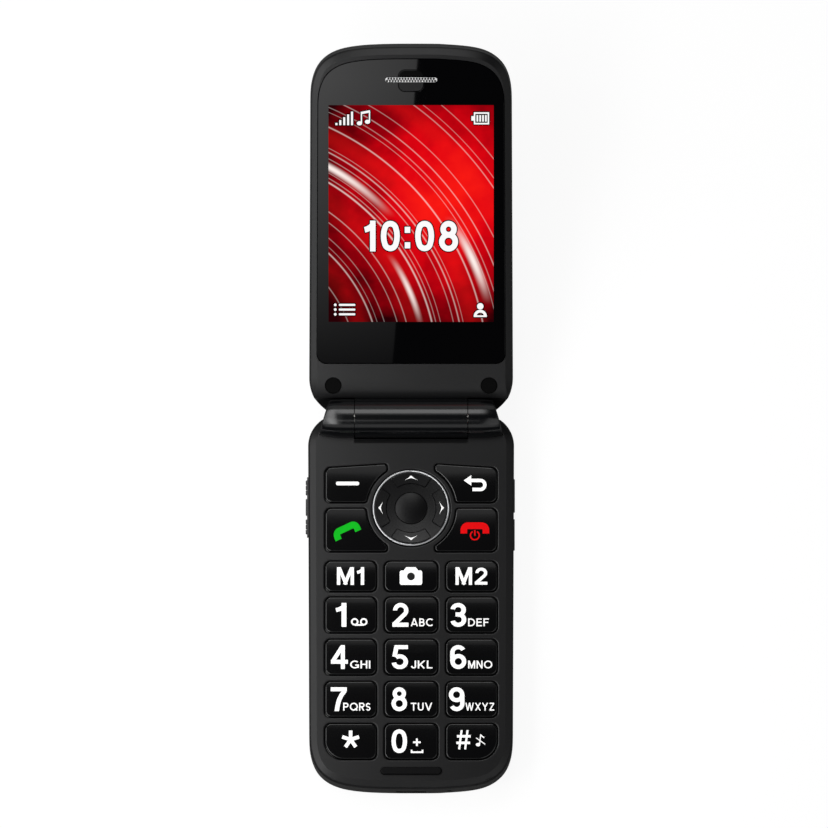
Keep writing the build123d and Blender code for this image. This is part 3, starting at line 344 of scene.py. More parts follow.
@dataclass(frozen=True)
class ScreenPicture:
    """A lit red picture: a warm glow crossed by wide rings of light."""

    name: str = "backlit_red_picture"
    glow_x: float = 9.0
    glow_d: float = 59.0
    glow_reach: float = 38.0
    grain_mm: float = 7.0
    grain_share: float = 0.3
    wide_from: float = 1.0
    rings_x: float = -52.0
    rings_d: float = 12.0
    arcs: tuple = (
        Arc(38.0, 0.12, 0.3), Arc(40.5, 2.6, 0.16), Arc(44.0, 0.16, 0.5), Arc(45.2, 0.08, 0.25), Arc(47.0, 0.1, 0.25),
        Arc(50.2, 0.1, 0.3), Arc(52.5, 0.12, 0.35), Arc(54.5, 3.0, 0.18), Arc(59.0, 0.18, 0.6), Arc(60.0, 0.1, 0.3),
        Arc(61.2, 0.08, 0.3), Arc(64.5, 0.1, 0.3), Arc(66.0, 0.14, 0.45), Arc(67.0, 0.08, 0.3), Arc(69.5, 2.4, 0.25),
        Arc(72.0, 0.16, 0.5), Arc(75.6, 0.08, 0.3), Arc(76.8, 0.1, 0.3), Arc(79.0, 0.12, 0.4), Arc(82.0, 0.1, 0.3),
        Arc(86.0, 2.0, 0.25), Arc(88.5, 0.12, 0.35), Arc(90.0, 0.08, 0.3), Arc(93.0, 0.1, 0.3),
        Arc(62.6, 0.7, 1.0, 66.0, 13.0), Arc(74.5, 0.8, 1.0, 42.0, 12.0), Arc(56.0, 0.55, 0.9, 34.0, 10.0),
    )

    def material(self) -> bpy.types.Material:
        """Build the picture as light given off behind the window."""
        material, tree, out = new_tree(self.name)
        spot = flat_place(tree, Half.LID)
        along = add_node(tree, "ShaderNodeSeparateXYZ", {"Vector": spot}).outputs["Y"]
        ramp = add_node(tree, "ShaderNodeValToRGB", {"Fac": self._shade(tree, spot)})
        stops = ((0.0, "#ff1c12"), (0.34, "#e00510"), (0.66, "#9a000b"), (1.0, "#260003"))
        for step, (share, code) in enumerate(stops):
            stop = ramp.color_ramp.elements[step] if step < 2 else ramp.color_ramp.elements.new(share)
            stop.position, stop.color = share, linear(code)
        lit = ramp
        for wide, code in ((True, "#ff2018"), (False, "#fff0ea")):
            arcs = [arc for arc in self.arcs if (arc.width > self.wide_from) == wide]
            light = self._rings(tree, spot, along, arcs)
            under = lit.outputs["Color" if wide else 2]
            lit = add_node(
                tree, "ShaderNodeMix", {0: light, 6: under, 7: linear(code)}, data_type="RGBA", clamp_factor=True,
            )
        shader = add_node(
            tree, "ShaderNodeBsdfPrincipled",
            {
                "Base Color": linear("#050002"), "Roughness": 0.05, "Emission Color": lit.outputs[2],
                "Emission Strength": 1.0, "Specular IOR Level": 0.0,
            },
        )
        tree.links.new(shader.outputs["BSDF"], out.inputs["Surface"])
        return material

    def _reach(
        self, tree: bpy.types.NodeTree, spot: bpy.types.NodeSocket, x: float, d: float,
    ) -> bpy.types.NodeSocket:
        """Give the distance on the screen from a point, in millimetres.

        Args:
            tree: the node tree.
            spot: the flat place.
            x: the point across.
            d: the point's distance from the hinge.

        Returns:
            The socket of the distance.
        """
        flat = add_node(tree, "ShaderNodeVectorMath", {0: spot, 1: (1, 1, 0)}, operation="MULTIPLY")
        reach = add_node(
            tree, "ShaderNodeVectorMath", {0: flat.outputs[0], 1: (x, d, 0)}, operation="DISTANCE",
        )
        return reach.outputs["Value"]

    def _shade(self, tree: bpy.types.NodeTree, spot: bpy.types.NodeSocket) -> bpy.types.NodeSocket:
        """Give the share of darkness away from the glow, with a soft mottle."""
        reach = self._reach(tree, spot, self.glow_x, self.glow_d)
        share = add_node(tree, "ShaderNodeMath", {0: reach, 1: self.glow_reach}, operation="DIVIDE")
        mottle = add_node(
            tree, "ShaderNodeTexNoise", {"Vector": spot, "Scale": 1 / self.grain_mm, "Detail": 3.0},
        )
        soft = add_node(
            tree, "ShaderNodeMapRange",
            {"Value": mottle.outputs["Fac"], "To Min": -self.grain_share, "To Max": self.grain_share},
        )
        total = add_node(
            tree, "ShaderNodeMath", {0: share.outputs[0], 1: soft.outputs[0]}, operation="ADD", use_clamp=True,
        )
        return total.outputs[0]

    def _rings(
        self, tree: bpy.types.NodeTree, spot: bpy.types.NodeSocket, along: bpy.types.NodeSocket, arcs: Sequence[Arc],
    ) -> bpy.types.NodeSocket:
        """Add up curved lines of light.

        Args:
            tree: the node tree.
            spot: the flat place.
            along: distance from the hinge in millimetres.
            arcs: the lines.

        Returns:
            The socket of the summed light.
        """
        reach = self._reach(tree, spot, self.rings_x, self.rings_d)
        total: Union[float, bpy.types.NodeSocket] = 0.0
        for arc in arcs:
            strength: Union[float, bpy.types.NodeSocket] = arc.strength
            for value, middle, spread in ((along, arc.middle, arc.spread), (reach, arc.radius, arc.width * 2)):
                off = add_node(tree, "ShaderNodeMath", {0: value, 1: middle}, operation="SUBTRACT")
                size = add_node(tree, "ShaderNodeMath", {0: off.outputs[0]}, operation="ABSOLUTE")
                band = add_node(
                    tree, "ShaderNodeMapRange",
                    {"Value": size.outputs[0], "From Min": 0.0, "From Max": spread, "To Min": strength, "To Max": 0.0},
                    interpolation_type="SMOOTHSTEP",
                )
                strength = band.outputs[0]
            total = add_node(tree, "ShaderNodeMath", {0: strength, 1: total}, operation="ADD").outputs[0]
        return total


# Letterforms as pen strokes on a cap height of one: x, y, heading in degrees, then moves.
# A number moves the pen straight on; a pair is a bend of that radius through that angle.
OVAL: tuple = ((0.81, 20), (0.1875, 140), (0.81, 40), (0.1875, 140), (0.81, 20))
GLYPHS: dict = {
    "0": [(0.225, 0.5, 90, *OVAL)],
    "1": [(0, 0, 90, 1.0), (-0.27, 0.7, 12, (0.5, 42))],
    "2": [(-0.22, 0.67, 90, (0.22, -226), 0.58), (-0.33, 0.095, 0, 0.64)],
    "3": [(-0.2, 0.735, 82, (0.2, -262)), (-0.1, 0.52, 0, 0.1, (0.21, -255))],
    "4": [(0.13, 0, 90, 1.0), (-0.36, 0.3, 0, 0.7), (-0.3, 0.29, 58, 0.76)],
    "5": [(-0.24, 0.905, 0, 0.5), (-0.17, 0.92, -100, 0.42), (-0.19, 0.47, 40, (0.225, -300))],
    "6": [(0.22, 0.32, 90, (0.22, 360)), (-0.225, 0.32, 90, 0.36, (0.22, -150))],
    "7": [(-0.31, 0.905, 0, 0.6), (0.22, 0.85, -130, (1.2, 32), 0.3)],
    "8": [(0.18, 0.72, 90, (0.18, 360)), (0.225, 0.315, 90, (0.225, 360))],
    "9": [(-0.22, 0.68, -90, (0.22, 360)), (0.225, 0.68, -90, 0.36, (0.22, -150))],
    "*": [(0, 0.5, a, 0.5) for a in (90, 18, 162, -54, -126)],
    "#": [(-0.28, 0, 81, 1.02), (0.1, 0, 81, 1.02), (-0.46, 0.34, 0, 0.88), (-0.42, 0.68, 0, 0.88)],
    "+": [(0, 0, 90, 1.0), (-0.5, 0.5, 0, 1.0)],
    ":": [(0, 0.1, 90, 0.2), (0, 0.6, 90, 0.2)],
    "A": [(-0.37, 0, 70, 1.08), (0.37, 0, 110, 1.08), (-0.24, 0.27, 0, 0.48)],
    "B": [(0, 0, 90, 1.0), (0, 0.92, 0, 0.26, (0.2, -180), 0.26), (0, 0.51, 0, 0.3, (0.215, -180), 0.3)],
    "C": [(0.3, 0.8, 135, (0.42, 270))],
    "D": [(0, 0, 90, 1.0), (0, 0.92, 0, 0.22, (0.42, -180), 0.22)],
    "E": [(0, 0, 90, 1.0), (0, 0.92, 0, 0.55), (0, 0.52, 0, 0.52), (0, 0.08, 0, 0.57)],
    "F": [(0, 0, 90, 1.0), (0, 0.92, 0, 0.55), (0, 0.5, 0, 0.48)],
    "G": [(0.3, 0.8, 135, (0.42, 268)), (0.35, 0.08, 90, 0.4), (0.04, 0.43, 0, 0.39)],
    "H": [(0, 0, 90, 1.0), (0.56, 0, 90, 1.0), (0, 0.52, 0, 0.56)],
    "I": [(0, 0, 90, 1.0)],
    "J": [(0.36, 1.0, -90, 0.74, (0.18, -180), 0.06)],
    "K": [(0, 0, 90, 1.0), (0.04, 0.36, 48, 0.88), (0.2, 0.52, -54, 0.66)],
    "L": [(0, 0, 90, 1.0), (0, 0.08, 0, 0.5)],
    "M": [(0, 0, 90, 1.0), (0.68, 0, 90, 1.0), (0.02, 1.0, -70, 1.04), (0.66, 1.0, -110, 1.04)],
    "N": [(0, 0, 90, 1.0), (0.56, 0, 90, 1.0), (0.0, 0.98, -60, 1.12)],
    "O": [(0.42, 0.5, 90, (0.42, 360))],
    "P": [(0, 0, 90, 1.0), (0, 0.92, 0, 0.28, (0.225, -180), 0.28)],
    "Q": [(0.42, 0.5, 90, (0.42, 360)), (0.14, 0.28, -42, 0.4)],
    "R": [(0, 0, 90, 1.0), (0, 0.92, 0, 0.3, (0.22, -180), 0.3), (0.22, 0.48, -60, 0.58)],
    "S": [(0.22, 0.78, 118, (0.215, 242), (0.2, -248))],
    "T": [(0, 0, 90, 1.0), (-0.34, 0.92, 0, 0.68)],
    "U": [(-0.27, 1.0, -90, 0.65, (0.27, 180), 0.65)],
    "V": [(-0.36, 1.0, -70, 1.08), (0.36, 1.0, -110, 1.08)],
    "W": [(-0.5, 1.0, -76, 1.05), (0, 1.0, -104, 1.05), (0, 1.0, -76, 1.05), (0.5, 1.0, -104, 1.05)],
    "X": [(-0.32, 0, 57, 1.2), (0.32, 0, 123, 1.2)],
    "Y": [(0, 0, 90, 0.45), (-0.35, 1.0, -58, 0.66), (0.35, 1.0, -122, 0.66)],
    "Z": [(-0.3, 0.92, 0, 0.6), (-0.3, 0.08, 0, 0.62), (-0.28, 0.06, 57.5, 1.05)],
}


class Print:
    """A flat mark drawn in millimetres and laid on a face as a thin film of ink."""

    BEND_STEP = 12.0
    FILM = 0.02
    LIFT = 0.012
    STAGGER = 0.002
    CUT = 0.7
    DISC_SIDES = 28
    EDGE_COPIES = 8

    def __init__(self, name: str) -> None:
        """Start an empty mark."""
        self.name = name
        self.mesh = bmesh.new()
        self.level = 0.0

    def next_level(self) -> float:
        """Give the next stroke a height of its own, so that crossing strokes share no face."""
        self.level += self.STAGGER
        return self.level

    def stroke(self, x: float, y: float, heading: float, moves: Sequence[Move], width: float) -> None:
        """Draw one pen stroke of even width.

        Args:
            x: start across.
            y: start up.
            heading: first direction in degrees.
            moves: straight runs and bends.
            width: width of the pen.
        """
        before = set(self.mesh.verts)
        place = Vector((x, y, self.next_level()))
        side = Vector((-math.sin(math.radians(heading)), math.cos(math.radians(heading)), 0))
        ends = [self.mesh.verts.new(place + side * width * share) for share in (0.5, -0.5)]
        edge = self.mesh.edges.new(ends)
        for move in moves:
            along = Vector((math.cos(math.radians(heading)), math.sin(math.radians(heading)), 0))
            if not isinstance(move, tuple):
                grown = bmesh.ops.extrude_edge_only(self.mesh, edges=[edge])["geom"]
                edge = next(g for g in grown if isinstance(g, bmesh.types.BMEdge))
                bmesh.ops.translate(self.mesh, verts=list(edge.verts), vec=along * move)
                place = place + along * move
                continue
            radius, sweep = move
            side = Vector((-along.y, along.x, 0))
            centre = place + side * math.copysign(radius, sweep)
            spun = bmesh.ops.spin(
                self.mesh, geom=[edge, *edge.verts], cent=centre, axis=(0, 0, 1), angle=math.radians(sweep),
                steps=max(2, math.ceil(abs(sweep) / self.BEND_STEP)), use_merge=False, use_duplicate=False,
            )
            edge = next(g for g in spun["geom_last"] if isinstance(g, bmesh.types.BMEdge))
            place = centre + Matrix.Rotation(math.radians(sweep), 3, "Z") @ (place - centre)
            heading += sweep
        made = [v for v in self.mesh.verts if v not in before]
        bmesh.ops.remove_doubles(self.mesh, verts=made, dist=width * 0.002)

    def text(self, words: str, width: float, gap: float) -> None:
        """Write words on a cap height of one.

        Args:
            words: characters that have letterforms.
            width: width of the pen.
            gap: space between letters.
        """
        pen = 0.0
        for letter in words:
            before = set(self.mesh.verts)
            for x, y, heading, *moves in GLYPHS[letter]:
                self.stroke(x, y, heading, moves, width)
            for level, up in ((0.0, -1), (1.0, 1)):
                made = [v for v in self.mesh.verts if v not in before]
                faces = {f for v in made for f in v.link_faces}
                edges = {e for v in made for e in v.link_edges}
                bmesh.ops.bisect_plane(
                    self.mesh, geom=[*made, *edges, *faces], plane_co=(0, level, 0), plane_no=(0, up, 0),
                    clear_outer=True, dist=1e-6,
                )
            made = [v for v in self.mesh.verts if v not in before]
            low = min(v.co.x for v in made)
            high = max(v.co.x for v in made)
            bmesh.ops.translate(self.mesh, verts=made, vec=(pen - low, 0, 0))
            pen += high - low + gap

    def bar(self, box: Box, corner: float = 0.0) -> None:
        """Draw a rectangle, with rounded corners where a radius is given."""
        x0, x1, y0, y1 = box
        made = bmesh.ops.create_grid(self.mesh, x_segments=1, y_segments=1, size=0.5)["verts"]
        bmesh.ops.scale(self.mesh, verts=made, vec=(x1 - x0, y1 - y0, 1))
        bmesh.ops.translate(self.mesh, verts=made, vec=((x0 + x1) / 2, (y0 + y1) / 2, self.next_level()))
        if corner:
            bmesh.ops.bevel(
                self.mesh, geom=made, offset=corner, affect="VERTICES", segments=6, profile=0.5, material=-1,
            )

    def disc(self, x: float, y: float, radius: float, stretch: float = 1.0) -> None:
        """Draw a round or oval dot."""
        made = bmesh.ops.create_circle(self.mesh, cap_ends=True, segments=self.DISC_SIDES, radius=radius)["verts"]
        bmesh.ops.scale(self.mesh, verts=made, vec=(stretch, 1, 1))
        bmesh.ops.translate(self.mesh, verts=made, vec=(x, y, self.next_level()))

    def outline(self, points: Iterable) -> None:
        """Draw a filled outline from a few points."""
        level = self.next_level()
        self.mesh.faces.new([self.mesh.verts.new((x, y, level)) for x, y in points])

    def trim(self, level: float, up: int) -> None:
        """Cut off the part of the mark above a level, or below it where up is minus one."""
        everything = [*self.mesh.verts, *self.mesh.edges, *self.mesh.faces]
        bmesh.ops.bisect_plane(
            self.mesh, geom=everything, plane_co=(0, level, 0), plane_no=(0, up, 0), clear_outer=True, dist=1e-5,
        )

    def turn(self, degrees: float) -> None:
        """Turn the whole mark about its origin."""
        bmesh.ops.rotate(
            self.mesh, verts=self.mesh.verts[:], cent=(0, 0, 0), matrix=Matrix.Rotation(math.radians(degrees), 3, "Z"),
        )

    def shift(self, x: float, y: float) -> None:
        """Move the whole mark."""
        bmesh.ops.translate(self.mesh, verts=self.mesh.verts[:], vec=(x, y, 0))

    def fit(self, box: Box) -> None:
        """Stretch the whole mark to fill a box given as x low and high, y low and high."""
        xs = [v.co.x for v in self.mesh.verts]
        ys = [v.co.y for v in self.mesh.verts]
        wide = (box[1] - box[0]) / max(max(xs) - min(xs), 1e-6)
        tall = (box[3] - box[2]) / max(max(ys) - min(ys), 1e-6)
        self.shift(-min(xs), -min(ys))
        bmesh.ops.scale(self.mesh, verts=self.mesh.verts[:], vec=(wide, tall, 1))
        self.shift(box[0], box[2])

    def edge(self, reach: float) -> "Print":
        """Give a wider copy of the mark, to lie under it as a dark edge.

        Args:
            reach: how far the copy spreads.

        Returns:
            The copy.
        """
        wide = Print(self.name + "_edge")
        wide.mesh.free()
        wide.mesh = self.mesh.copy()
        first = [*wide.mesh.verts, *wide.mesh.edges, *wide.mesh.faces]
        for step in range(self.EDGE_COPIES):
            made = bmesh.ops.duplicate(wide.mesh, geom=first)["geom"]
            verts = [g for g in made if isinstance(g, bmesh.types.BMVert)]
            turn = math.radians(360 / self.EDGE_COPIES * step)
            rise = self.STAGGER * (step + 1) / (self.EDGE_COPIES + 1)
            away = (reach * math.cos(turn), reach * math.sin(turn), rise)
            bmesh.ops.translate(wide.mesh, verts=verts, vec=away)
        return wide

    def lay(
        self, half: Half, height: Callable[[Vector], float], surface: bpy.types.Material, body: str, slot: str,
        curved: bool = False,
    ) -> bpy.types.Object:
        """Lay the mark on a face, give it the thickness of ink and make it a piece.

        Args:
            half: the half that carries it.
            height: height of the face at a flat place, in millimetres.
            surface: its material.
            body: the body that it rides on.
            slot: the record's material slot; not used.
            curved: whether the face is crowned, so that the mark has to bend with it.

        Returns:
            The new object.
        """
        mesh = self.mesh
        if curved:
            low = min(v.co.y for v in mesh.verts)
            high = max(v.co.y for v in mesh.verts)
            cuts = max(1, math.ceil((high - low) / self.CUT))
            for cut in range(1, cuts):
                level = low + (high - low) * cut / cuts
                everything = [*mesh.verts, *mesh.edges, *mesh.faces]
                bmesh.ops.bisect_plane(
                    mesh, geom=everything, plane_co=(0, level, 0), plane_no=(0, 1, 0), dist=1e-5,
                )
        mesh.normal_update()
        bmesh.ops.reverse_faces(mesh, faces=[f for f in mesh.faces if f.normal.z < 0])
        for vert in mesh.verts:
            vert.co.z += height(vert.co) + self.LIFT
        bmesh.ops.solidify(mesh, geom=mesh.faces[:], thickness=self.FILM)
        bmesh.ops.recalc_face_normals(mesh, faces=mesh.faces[:])
        mesh.transform(half.placing())
        return as_piece(self.name, mesh, surface, body)


def as_piece(
    name: str, mesh: bmesh.types.BMesh, surface: bpy.types.Material, body: str,
) -> bpy.types.Object:
    """Turn a finished mesh in frame metres into a piece that rides on a body.

    Args:
        name: the piece's name.
        mesh: the mesh, which is used up.
        surface: its material.
        body: the body that it rides on.

    Returns:
        The new object.
    """
    data = bpy.data.meshes.new(name)
    mesh.to_mesh(data)
    mesh.free()
    data.materials.append(surface)
    piece = bpy.data.objects.new(name, data)
    bpy.context.scene.collection.objects.link(piece)
    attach(piece, body)
    LOG.info("piece %s rides on %s", name, body)
    return piece


@dataclass
class Housing:
    """The phone's own pieces and the finish of each."""

    satin: tuple = ("base_front_cover", "base_rear_case", "battery_cover", "lid_front_cover", "lid_rear_cover")
    hinge: tuple = ("hinge_ear_left", "hinge_ear_right", "lid_hinge_barrel")
    side: tuple = ("volume_key", "side_key_upper", "side_key_lower")
    windows: tuple = ("display_window", "camera_window")
    rubber: tuple = ("bumper_strip",)
    boards: tuple = ("main_board", "lid_board")
    inner: tuple = ("nav_carrier", "loudspeaker", "side_switches", "camera_module")
    steel: tuple = (
        "base_screws", "lid_screws", "snap_domes", "usb_socket", "sim_card_holder", "hinge_drive_shaft",
        "hinge_pivot_pin", "hinge_cartridge", "vibration_motor", "microphone",
    )

    def dress(self, nodes: dict) -> None:
        """Give every carried-over piece its material.

        Args:
            nodes: the frame's objects by name.
        """
        plan = {
            Surface.SATIN_ABS: self.satin, Surface.HINGE_ABS: self.hinge, Surface.SIDE_ABS: self.side,
            Surface.ACRYLIC: self.windows, Surface.RUBBER: self.rubber, Surface.BOARD: self.boards,
            Surface.INNER: self.inner, Surface.STEEL: self.steel, Surface.ETCHED_ABS: ("nav_key",),
            Surface.NICKEL_RING: ("nav_trim_ring",), Surface.SILVER_SHEET: ("earpiece_mesh",),
            Surface.SILICONE: ("keypad_mat",),
            Surface.GOLD: ("battery_contacts",), Surface.WRAP: ("battery",), Surface.MODULE: ("display_panel",),
            Surface.TAPE: ("hinge_cable",), Surface.PLUG: ("lid_screw_caps", "earpiece_speaker"),
            Surface.SOFT_ABS: ("ok_key",),
        }
        finish = {name: surface for surface, names in plan.items() for name in names}
        for name, node in nodes.items():
            surface = finish.get(name, Surface.GLOSS_ABS)
            node.data.materials.clear()
            node.data.materials.append(surface.get())
            LOG.info("piece %s has %s", name, surface.value.name)


@dataclass
class Keypad:
    """The printed legends of the keys, placed in millimetres from the hinge axis."""

    top: float = 10.95
    crown: float = 0.16
    first_row: float = 52.1
    row_pitch: float = 11.18
    key_length: float = 9.65
    memory_row: float = 41.87
    memory_length: float = 8.25
    soft_row: float = 17.125
    soft_length: float = 10.45
    call_row: float = 29.55
    call_length: float = 11.7
    bold: float = 0.165
    light: float = 0.155
    slot: str = "gloss_black_plastic"

    def crowned(self, middle: float, length: float) -> Callable[[Vector], float]:
        """Give the height of a crowned key top.

        Args:
            middle: distance of the key's middle from the hinge.
            length: length of the key.

        Returns:
            A function of the flat place.
        """
        radius = ((length / 2) ** 2 + self.crown ** 2) / (2 * self.crown)
        return lambda spot: self.top - radius + math.sqrt(radius ** 2 - (spot.y + middle) ** 2)

    def word(
        self, key: str, words: str, box: Box, middle: float, length: float, width: float, gap: float = 0.16,
    ) -> None:
        """Print words on a key.

        Args:
            key: the key's body.
            words: the words.
            box: the box that they fill.
            middle: distance of the key's middle from the hinge.
            length: length of the key.
            width: width of the pen on a cap height of one.
            gap: space between letters.
        """
        mark = Print(f"{key}_legend_{len(words)}_{words if words.isalnum() else ord(words[0])}")
        mark.text(words, width, gap)
        mark.fit(box)
        mark.lay(Half.KEYPAD, self.crowned(middle, length), Surface.WHITE_INK.get(), key, self.slot, True)

    def dial(self) -> None:
        """Print the twelve dial keys."""
        rows = (
            (
                ("1", (-19.77, -16.81), "", None), ("2", (-4.9, -0.68), "ABC", (-0.1, 5.71)),
                ("3", (10.31, 14.43), "DEF", (14.92, 20.34)),
            ),
            (
                ("4", (-21.02, -16.52), "GHI", (-15.94, -10.66)), ("5", (-5.08, -0.81), "JKL", (0.0, 5.6)),
                ("6", (10.24, 14.43), "MNO", (14.92, 21.23)),
            ),
            (
                ("7", (-21.02, -16.81), "PQRS", (-17.75, -10.63)), ("8", (-5.13, -1.05), "TUV", (-0.08, 5.52)),
                ("9", (9.87, 13.95), "WXYZ", (14.19, 21.78)),
            ),
        )
        for row, keys in enumerate(rows):
            middle = self.first_row + row * self.row_pitch
            digit = (-middle - 3.2, -middle + 3.12)
            letters = (-middle - 3.07, -middle - 0.98)
            for name, span, words, room in keys:
                self.word("key_" + name, name, (*span, *digit), middle, self.key_length, self.bold)
                if words:
                    self.word("key_" + name, words, (*room, *letters), middle, self.key_length, self.light)
        last = self.first_row + 3 * self.row_pitch
        self.word("key_star", "*", (-18.14, -13.48, -87.46, -82.81), last, self.key_length, 0.2)
        self.word("key_0", "0", (-5.13, -1.05, -88.76, -82.48), last, self.key_length, self.bold)
        self.word("key_0", "+", (0.52, 2.51, -86.93, -84.91), last, self.key_length, 0.24)
        self.word("key_hash", "#", (11.83, 15.58, -87.81, -82.7), last, self.key_length, 0.13)
        self.signs(last)

    def signs(self, last: float) -> None:
        """Print the small signs beside 1, 0 and the hash.

        Args:
            last: distance of the last row from the hinge.
        """
        white = Surface.WHITE_INK.get()
        lowest = self.crowned(last, self.key_length)
        tape = Print("key_1_message_sign")
        for x in (-14.75, -12.39):
            tape.stroke(x + 0.76, -53.98, 90, ((0.76, 360),), 0.42)
        tape.bar((-14.75, -12.39, -55.02, -54.6))
        tape.lay(Half.KEYPAD, self.crowned(self.first_row, self.key_length), white, "key_1", self.slot, True)
        space = Print("key_0_space_sign")
        space.bar((-0.08, 3.19, -88.76, -88.32))
        space.bar((-0.08, 0.34, -88.76, -87.9))
        space.bar((2.77, 3.19, -88.76, -87.9))
        space.lay(Half.KEYPAD, lowest, white, "key_0", self.slot, True)
        note = Print("key_hash_silent_sign")
        note.disc(17.5, -86.55, 0.45, 1.25)
        note.stroke(17.9, -86.5, 84, (2.7,), 0.27)
        note.stroke(18.1, -83.95, -38, (1.25,), 0.34)
        note.stroke(17.0, -84.75, -36, (2.95,), 0.24)
        note.lay(Half.KEYPAD, lowest, white, "key_hash", self.slot, True)

    def memory(self) -> None:
        """Print the memory keys and the camera sign."""
        for key, words, span in (("key_m1", "M1", (-19.4, -12.2)), ("key_m2", "M2", (11.62, 19.95))):
            self.word(key, words, (*span, -44.18, -39.48), self.memory_row, self.memory_length, self.bold, 0.14)
        height = self.crowned(self.memory_row, self.memory_length)
        body = Print("key_camera_sign")
        body.bar((-2.98, 2.91, -44.18, -40.35), 0.55)
        body.outline(((-1.95, -40.36), (1.88, -40.36), (1.2, -39.48), (-1.27, -39.48)))
        body.lay(Half.KEYPAD, height, Surface.WHITE_INK.get(), "key_camera", self.slot, True)
        lens = Print("key_camera_sign_lens")
        lens.disc(-0.03, -41.95, 1.03)
        dark = Surface.DARK_INK.get()
        lens.lay(Half.KEYPAD, lambda spot: height(spot) + Print.FILM, dark, "key_camera", self.slot, True)

    def handset(self, mark: Print) -> None:
        """Draw a receiver one unit long, its ends turned down."""
        mark.stroke(-0.372, 0.0, 90, (0.12, (0.14, -90), 0.465, (0.14, -90), 0.12), 0.225)

    def call_row_keys(self) -> None:
        """Print the soft keys and the call keys."""
        soft = self.crowned(self.soft_row, self.soft_length)
        call = self.crowned(self.call_row, self.call_length)
        white = Surface.WHITE_INK.get()
        dash = Print("key_soft_left_sign")
        dash.bar((-19.65, -13.62, -17.74, -16.78), 0.42)
        dash.lay(Half.KEYPAD, soft, white, "key_soft_left", self.slot, True)
        back = Print("key_soft_right_sign")
        back.outline(((13.77, -16.45), (15.75, -15.05), (15.75, -17.85)))
        back.stroke(15.6, -16.45, 0, (2.5, (1.2, -180), 2.05), 0.9)
        back.lay(Half.KEYPAD, soft, white, "key_soft_right", self.slot, True)
        green = Print("key_call_sign")
        self.handset(green)
        green.turn(24)
        green.fit((-20.26, -13.06, -32.65, -27.38))
        green.lay(Half.KEYPAD, call, Surface.GREEN_INK.get(), "key_call", self.slot, True)
        ink = Surface.RED_INK.get()
        red = Print("key_end_sign")
        self.handset(red)
        red.fit((12.93, 20.45, -30.55, -27.59))
        red.lay(Half.KEYPAD, call, ink, "key_end", self.slot, True)
        power = Print("key_end_power_sign")
        radius, pen, start = 1.15, 0.36, math.radians(120)
        x, y = 16.68 + radius * math.cos(start), -31.05 + radius * math.sin(start)
        power.stroke(x, y, 210, ((radius, 300),), pen)
        power.stroke(16.68, -31.15, 90, (1.5,), pen)
        power.lay(Half.KEYPAD, lambda spot: call(spot) + Print.FILM / 2, ink, "key_end", self.slot, True)

    def build(self) -> None:
        """Print every key."""
        self.dial()
        self.memory()
        self.call_row_keys()


@dataclass
class NavigationKey:
    """The arrowheads on the four pads of the navigation key."""

    distance: float = 23.74
    pad_height: float = 11.08
    disc_radius: float = 9.6
    dish: float = 0.5
    tip: float = 8.6
    half_width: float = 1.72
    depth: float = 1.28

    def height(self, spot: Vector) -> float:
        """Give the height of the dished pads at a flat place."""
        reach = math.hypot(spot.x, spot.y + self.distance)
        return self.pad_height - self.dish * (1 - (reach / self.disc_radius) ** 2)

    def build(self) -> None:
        """Print an arrowhead on each pad."""
        half, tall = self.half_width, self.depth
        points = (
            (0, tall), (half * 0.36, tall * 0.56), (half, 0), (half * 0.5, tall * 0.3), (0, tall * 0.5),
            (-half * 0.5, tall * 0.3), (-half, 0), (-half * 0.36, tall * 0.56),
        )
        for spot, name in enumerate(("up", "left", "down", "right")):
            mark = Print("nav_arrow_" + name)
            mark.outline(points)
            mark.shift(0, self.tip - tall)
            mark.turn(90 * spot)
            mark.shift(0, -self.distance)
            mark.lay(Half.KEYPAD, self.height, Surface.WHITE_INK.get(), "nav_key", "gloss_black_plastic")


@dataclass
class EarpieceDish:
    """Painted light and shade on the floor of the dish round the earpiece: a satin film below the pierced bar paints a
    lit lip, a dark matt film above it paints shade.
    """

    half_width: float = 3.12
    low: float = 86.88
    high: float = 92.22
    bar_low: float = 89.08
    bar_high: float = 90.42
    corner: float = 1.52
    floor: float = 10.25
    slot: str = "window_acrylic"

    def build(self) -> None:
        """Lay the two films of painted light and painted shade."""
        # Satin film: painted light on the lower lip; near-black film: painted shade on the upper side.
        for name, level, up, surface in (
            ("earpiece_dish_painted_light", self.bar_low, 1, Surface.SATIN_ABS),
            ("earpiece_dish_painted_shade", self.bar_high, -1, Surface.PLUG),
        ):
            mark = Print(name)
            mark.bar((-self.half_width, self.half_width, self.low, self.high), self.corner)
            mark.trim(level, up)
            mark.lay(Half.LID, lambda spot: self.floor, surface.get(), "lid", self.slot)


